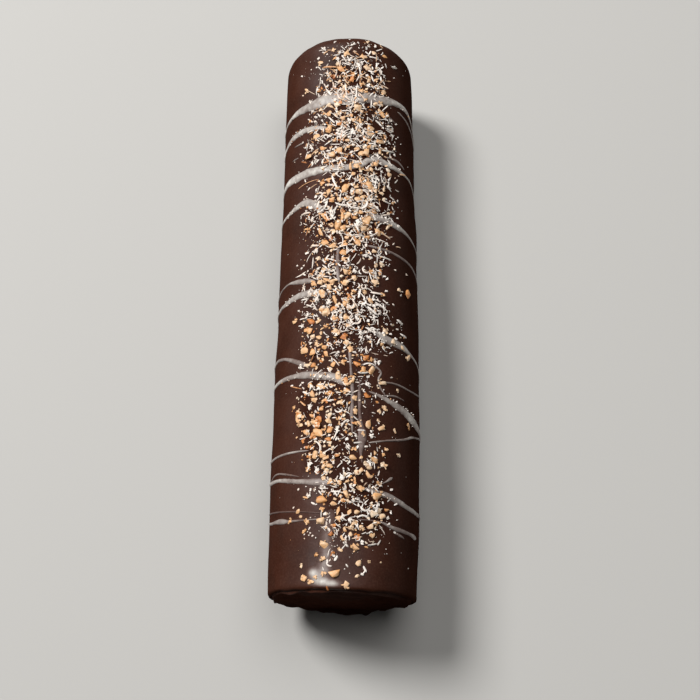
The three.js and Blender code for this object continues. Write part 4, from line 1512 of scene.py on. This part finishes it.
# white tufts that stand out, a flake under a few shreds: degrees, along, length, breadth, heading
placedTufts = [
    (-6, 83, 4, 2.6, 20), (3, 80.5, 4.6, 3, -60), (6.5, 77, 3.4, 3, 70), (-14, 37.5, 3.8, 3.2, 0),
    (-13.5, 33.5, 3.4, 2, 40), (2.5, 48, 3, 2.4, 0), (-19, 43, 3.6, 2.6, 70), (-25, -3.5, 4, 2.2, -30),
    (-24, -7.5, 3.6, 2.6, 20), (-15, -9.5, 3, 2, 0), (-37.5, -38.5, 3, 2.4, 30), (-26, -85.5, 3.2, 2.4, 20),
    (-20.5, -88, 3.4, 2, -30), (-26, -98.7, 2.6, 2.2, 0), (-6, -69.5, 3, 1.8, 20), (-2, -91.5, 4, 2.6, 70),
    (2, -78, 2.6, 1.8, 30), (17.5, -84.2, 2.6, 2.2, 0), (4, -109.8, 3, 2.4, 60), (-0.5, -109, 3, 2, 0),
    (23, -104.5, 3, 1.8, 0), (14, -119.3, 2, 1.6, 60), (-21, -50.5, 3.4, 2.4, 60), (-27, -49.8, 2.6, 2, 0),
    (-27, -58.8, 3, 1.8, -50), (16, -48.8, 2.4, 2, 0), (25, -37.5, 2.4, 1.4, 70), (10, -24, 2.6, 1.6, 60),
    (17, -22, 3, 2.4, 0), (28, -27, 3, 1.2, 85), (21, -17, 3, 2, 30), (7, 31, 3.4, 2.6, 60),
    (35, 53, 3.2, 2.2, 30), (31, 22.3, 2.4, 1.8, 0), (13, 14.5, 3, 2, -40), (5, 6, 3, 2, 20),
    (-25, 7, 2.4, 1.4, -50), (19, 116, 3, 2, 60), (16.5, 108, 2.6, 2, 70), (-22, 130.3, 1.8, 1.4, 0),
    (23.5, 132.5, 1.6, 1.3, 0), (11, 121.5, 2.6, 1.8, -30), (-9.5, 122.3, 2.6, 1.8, 40),
    (-30, 88.6, 2, 1.4, 0), (-33.5, 95.5, 1.8, 1.4, 0), (-36, 101.5, 2, 1.6, 0), (-27, 103.8, 1.8, 1.2, 0),
    (-33, 66, 3, 2, 60), (-28.5, 66, 2.6, 1.6, -30), (-37.3, -18.8, 2.6, 1.6, 30), (-26, 17.8, 3.6, 2.2, -30),
    (19.5, -72.5, 2.4, 1.6, 0),
]


coconutStore = []
coconutRng = np.random.default_rng(coconut["seed"])


def crossSection():
    angles = np.arange(coconut["sides"]) * fullTurn / coconut["sides"]
    return np.array([(math.cos(a), math.sin(a)) for a in angles])


def shredShape(rings, length, width, bend):
    # a thin strip that bends, arches, twists a little and tapers towards its tips
    rng, section = coconutRng, crossSection()
    thickness = width * rng.uniform(*coconut["thickness"])
    t = np.linspace(-0.5, 0.5, rings)
    heading = math.radians(bend) * t
    stride = length / (rings - 1)
    x = np.concatenate([[0], np.cumsum(stride * np.cos((heading[1:] + heading[:-1]) / 2))])
    y = np.concatenate([[0], np.cumsum(stride * np.sin((heading[1:] + heading[:-1]) / 2))])
    z = length * rng.normal(*coconut["arch"]) * (1 - (2 * t) ** 2)
    twist = rng.uniform(-coconut["twist"], coconut["twist"]) + t * rng.normal(0, coconut["twistAlong"])
    full, loss, power = coconut["taper"]
    taper = np.clip(full - loss * np.abs(2 * t) ** power, coconut["leastTaper"], 1)
    taper = taper * (1 + rng.normal(0, coconut["taperUneven"], rings))
    points = []
    for i in range(rings):
        flat = section[:, 0] * width / 2 * taper[i]
        rise = section[:, 1] * thickness / 2 * taper[i]
        sideways = flat * math.cos(twist[i]) - rise * math.sin(twist[i])
        upwards = flat * math.sin(twist[i]) + rise * math.cos(twist[i])
        points.append(np.column_stack([
            x[i] - sideways * math.sin(heading[i]),
            y[i] + sideways * math.cos(heading[i]),
            z[i] + upwards,
        ]))
    points = np.concatenate(points)
    return points - (points.max(axis=0) + points.min(axis=0)) / 2, tubeFaces(rings, len(section))


def withPaintedLight(place, tone):
    # painted light: a tone made whiter on the right and darker on the left
    return tone - np.interp(place[0], *zip(*coconut["paintedLightWhiter"]))


def paleTone(rng, kind):
    return coconut["paleUpTo"] * rng.beta(*coconut["paleShape"][kind])


def shredTone(along):
    # browned threads lie mostly in the back half
    more = coconut["toastedMore"] if along > coconut["toastedFrom"] else coconut["toastedFewer"]
    if coconutRng.uniform() < coconut["toasted"] * more:
        return coconutRng.uniform(*coconut["toastedTone"])
    return paleTone(coconutRng, "shred")


def addShred(place):
    share = coconutRng.beta(*coconut["lengthShape"])
    shortest, longest = coconut["length"]
    longer = np.interp(place[1], coconut["backFrom"], (1, coconut["backLonger"]))
    wider = np.interp(place[1], coconut["backFrom"], (1, coconut["backWider"]))
    length = shortest + share * (longest - shortest) * longer
    width = coconutRng.uniform(*coconut["width"]) * (1 - coconut["longThinner"] * share) * wider
    rings, bend = coconut["rings"]["short"], coconutRng.normal(0, coconut["bend"])
    if coconutRng.uniform() < np.interp(place[1], *zip(*coconut["curled"])):
        rings = coconut["rings"]["curled"]
        bend = coconutRng.choice([-1, 1]) * coconutRng.uniform(*coconut["curl"])
    shape, faces = shredShape(rings, length, width, bend)
    tone = withPaintedLight(place, shredTone(place[1]))
    shape = turned(shape, coconutRng, coconut["tilt"])
    addTopping(coconutStore, shape, faces, place, coconut["sunk"], tone)


def addPlacedShred(degrees, along, length, width, heading, bend, tone):
    shape, faces = shredShape(coconut["rings"]["placed"], length, width, bend)
    shape = turned(shape, coconutRng, coconut["placedTilt"], heading)
    tone = withPaintedLight((degrees, along), tone)
    addTopping(coconutStore, shape, faces, (degrees, along), coconut["sunk"], tone)


def addFlake(place, length, breadth, heading, tone, tilt):
    thickness = breadth * coconutRng.uniform(*coconut["flakes"]["thickness"])
    shape, faces = chunkOf(coconutRng, sharpChunks, length, breadth, thickness)
    shape = turned(shape, coconutRng, tilt, heading)
    addTopping(coconutStore, shape, faces, place, coconut["sunk"], withPaintedLight(place, tone))


def addScatteredFlake(place):
    flakes = coconut["flakes"]
    length = coconutRng.uniform(*flakes["length"])
    breadth = length * coconutRng.uniform(*flakes["breadth"])
    addFlake(place, length, breadth, None, paleTone(coconutRng, "flake"), flakes["tilt"])


def addTuft(degrees, along, length, breadth, heading):
    rng, tufts = coconutRng, coconut["tufts"]
    flake = tufts["flake"]
    addFlake((degrees, along), flake * length, flake * breadth, heading, tufts["tone"], tufts["tilt"])
    for _ in range(tufts["shreds"]):
        aside, ahead = rng.normal(0, tufts["spread"], 2) * [breadth, length]
        place = (degrees + math.degrees(aside / roundRadius), along + ahead)
        width = rng.uniform(*coconut["width"])
        bend = rng.normal(0, tufts["bend"])
        shredLength = length * rng.uniform(*tufts["lengths"])
        shape, faces = shredShape(coconut["rings"]["short"], shredLength, width, bend)
        shape = turned(shape, rng, coconut["tilt"])
        tone = withPaintedLight(place, tufts["tone"] * rng.uniform(*tufts["tones"]))
        addTopping(coconutStore, shape, faces, place, coconut["sunk"], tone)
    keepClear(degrees, along, length, breadth, heading)


def scatterSmallOnes():
    # small nuts, shreds and flakes fall in a mixed order, so that they lie over one another
    addOne = {
        "nut": lambda place: addScatteredNut(nuts["small"], sharpChunks, place),
        "shred": addShred,
        "flake": addScatteredFlake,
    }
    places = {
        "nut": scatterPlaces(nutRng, nuts["small"]["count"], "smallNut"),
        "shred": scatterPlaces(coconutRng, coconut["shreds"], "shred"),
        "flake": scatterPlaces(coconutRng, coconut["flakes"]["count"], "flake"),
    }
    turns = [kind for kind in places for _ in places[kind]]
    coconutRng.shuffle(turns)
    waiting = {kind: iter(places[kind]) for kind in places}
    for kind in turns:
        addOne[kind](next(waiting[kind]))


for tuft in placedTufts:
    addTuft(*tuft)
scatterSmallOnes()
for degrees, along, length, breadth, heading, tone in placedBits:
    addFlake((degrees, along), length, breadth, heading, tone, coconut["placedTilt"])
for shred in placedShreds:
    addPlacedShred(*shred)
toastedNut = toppingMaterial("toasted nut", nuts)
driedCoconut = toppingMaterial("dried coconut", coconut)
makeOnRoll("chopped_nuts", nutStore, "tone", toastedNut, nuts["smoothAngle"])
makeOnRoll("coconut_shreds", coconutStore, "tone", driedCoconut, coconut["smoothAngle"])


# coconut crumbs, over the strip, past its edges and along the wide drizzle

crumbs = {
    "seed": 29,
    "overStrip": 740,
    "size": (0.28, 0.75),
    "past": 1050,
    "pastSize": (0.35, 1.05),
    "onDrizzle": 130,
    "drizzleSize": (0.5, 1.1),
    "dust": {"count": 340, "spread": 24, "from": -128, "to": 132},
    "dustSize": (0.25, 0.55),
    # specks in a line near the front end
    "trail": {"count": 26, "degrees": -7, "spread": 0.9, "from": -127, "to": -112},
    # they gather along the edges of the wide white bands
    "edges": {
        "whiterThan": 0.8, "widerThan": 3, "step": 1.0, "reach": 38, "leastWidth": 2,
        "spreadAcross": 0.3, "spreadAlong": 0.25,
    },
    "sizeShape": (1.2, 3),  # of the beta curve that makes most of them small
    "breadth": (0.6, 1),  # for each millimetre of length
    "thickness": (0.5, 0.9),
    "tilt": 30,
    "sunk": 0.05,
}


def drizzleEdgePlaces(rng, count):
    edges = crumbs["edges"]
    wide = [
        line for white, line in drizzleLines
        if white > edges["whiterThan"] and max(width for _, _, width in line) > edges["widerThan"]
    ]
    places = []
    while len(places) < count:
        flat, width, _ = smoothRoute(wide[rng.integers(len(wide))], edges["step"])
        i = rng.integers(len(flat))
        if abs(flat[i, 0]) > edges["reach"] or width[i] < edges["leastWidth"]:
            continue
        arc = flat[i, 0] + rng.normal(0, edges["spreadAcross"])
        along = flat[i, 1] + (rng.choice([-1, 1]) * width[i] / 2 + rng.normal(0, edges["spreadAlong"]))
        places.append((math.degrees(arc / roundRadius), along))
    return places


def trailPlaces(rng):
    trail = crumbs["trail"]
    degrees = rng.normal(trail["degrees"], trail["spread"], trail["count"])
    return np.column_stack([degrees, rng.uniform(trail["from"], trail["to"], trail["count"])])


def dustPlaces(rng):
    dust = crumbs["dust"]
    degrees = rng.normal(0, dust["spread"], dust["count"])
    degrees = np.clip(degrees, -scatter["reach"], scatter["reach"])
    return np.column_stack([degrees, rng.uniform(dust["from"], dust["to"], dust["count"])])


def addCrumb(rng, store, place, least, most):
    length = least + rng.beta(*crumbs["sizeShape"]) * (most - least)
    breadth = length * rng.uniform(*crumbs["breadth"])
    thickness = length * rng.uniform(*crumbs["thickness"])
    shape, faces = chunkOf(rng, sharpChunks, length, breadth, thickness)
    browned = rng.uniform() < coconut["toasted"]
    tone = rng.uniform(*coconut["toastedTone"]) if browned else paleTone(rng, "crumb")
    shape = turned(shape, rng, crumbs["tilt"])
    addTopping(store, shape, faces, place, crumbs["sunk"], withPaintedLight(place, tone))


crumbStore = []
crumbRng = np.random.default_rng(crumbs["seed"])
trail = trailPlaces(crumbRng)
crumbPlaces = [
    (crumbs["dustSize"], dustPlaces(crumbRng)),
    (crumbs["size"], scatterPlaces(crumbRng, crumbs["overStrip"], "crumb")),
    (crumbs["pastSize"], scatterPlaces(crumbRng, crumbs["past"], "pastCrumb")),
    (crumbs["size"], trail),
    (crumbs["drizzleSize"], drizzleEdgePlaces(crumbRng, crumbs["onDrizzle"])),
]
for size, places in crumbPlaces:
    for place in places:
        addCrumb(crumbRng, crumbStore, place, *size)
makeOnRoll("coconut_crumbs", crumbStore, "tone", driedCoconut)


# floor, light and camera

# in metres and watts
studio = {
    "floor": "aeaca8",
    "floorRoughness": 0.8,
    "floorReach": 12,
    "world": "d8d8d8",
    "worldStrength": 0.06,
    "key": {"place": (-1.4, 0.95, 2.08), "size": 1.0, "power": 92},
    "fill": {"place": (0.45, 0.6, 2.3), "size": 1.8, "power": 26},
    "lightsAim": (0, 0, 0.03),
}


def addFloor():
    mesh = bpy.data.meshes.new("floor")
    far = studio["floorReach"]
    mesh.from_pydata([(-far, -far, 0), (far, -far, 0), (far, far, 0), (-far, far, 0)], [], [(0, 1, 2, 3)])
    floor = bpy.data.objects.new("floor", mesh)
    bpy.context.scene.collection.objects.link(floor)
    material, nodes, links, shader, place = newMaterial("pale floor")
    shader.inputs["Base Color"].default_value = colourOf(studio["floor"])
    shader.inputs["Roughness"].default_value = studio["floorRoughness"]
    mesh.materials.append(material)


def addSoftLight(name):
    look = studio[name]
    light = bpy.data.lights.new(name, "AREA")
    light.shape = "DISK"
    light.size = look["size"]
    light.energy = look["power"]
    lamp = bpy.data.objects.new(name, light)
    lamp.location = look["place"]
    lamp.rotation_mode = "QUATERNION"
    aim = Vector(studio["lightsAim"]) - lamp.location
    lamp.rotation_quaternion = aim.to_track_quat("-Z", "Y")
    bpy.context.scene.collection.objects.link(lamp)


def addWorld():
    world = bpy.data.worlds.new("studio")
    world.use_nodes = True
    background = world.node_tree.nodes["Background"]
    background.inputs["Color"].default_value = colourOf(studio["world"])
    background.inputs["Strength"].default_value = studio["worldStrength"]
    bpy.context.scene.world = world


view = {
    "elevation": 68.65,
    "azimuth": 0.636,
    "distance": 0.5195,
    "aim": (1.37, -20.67, 32.0),  # millimetres from the middle of the base
    "lens": 55.88,
    "sensor": 36,
    "nearest": 0.01,
}


def addCamera():
    elevation, azimuth = math.radians(view["elevation"]), math.radians(view["azimuth"])
    back = Vector((
        math.sin(azimuth) * math.cos(elevation),
        -math.cos(azimuth) * math.cos(elevation),
        math.sin(elevation),
    ))
    camera = bpy.data.objects.new("camera", bpy.data.cameras.new("camera"))
    camera.data.lens = view["lens"]
    camera.data.sensor_width = view["sensor"]
    camera.data.clip_start = view["nearest"]
    camera.location = Vector(view["aim"]) * mm + back * view["distance"]
    camera.rotation_mode = "QUATERNION"
    camera.rotation_quaternion = (-back).to_track_quat("-Z", "Y")
    bpy.context.scene.collection.objects.link(camera)
    bpy.context.scene.camera = camera


addFloor()
addWorld()
addSoftLight("key")
addSoftLight("fill")
addCamera()
bpy.context.scene.view_settings.view_transform = "Standard"
print("floor, lights and camera are set")
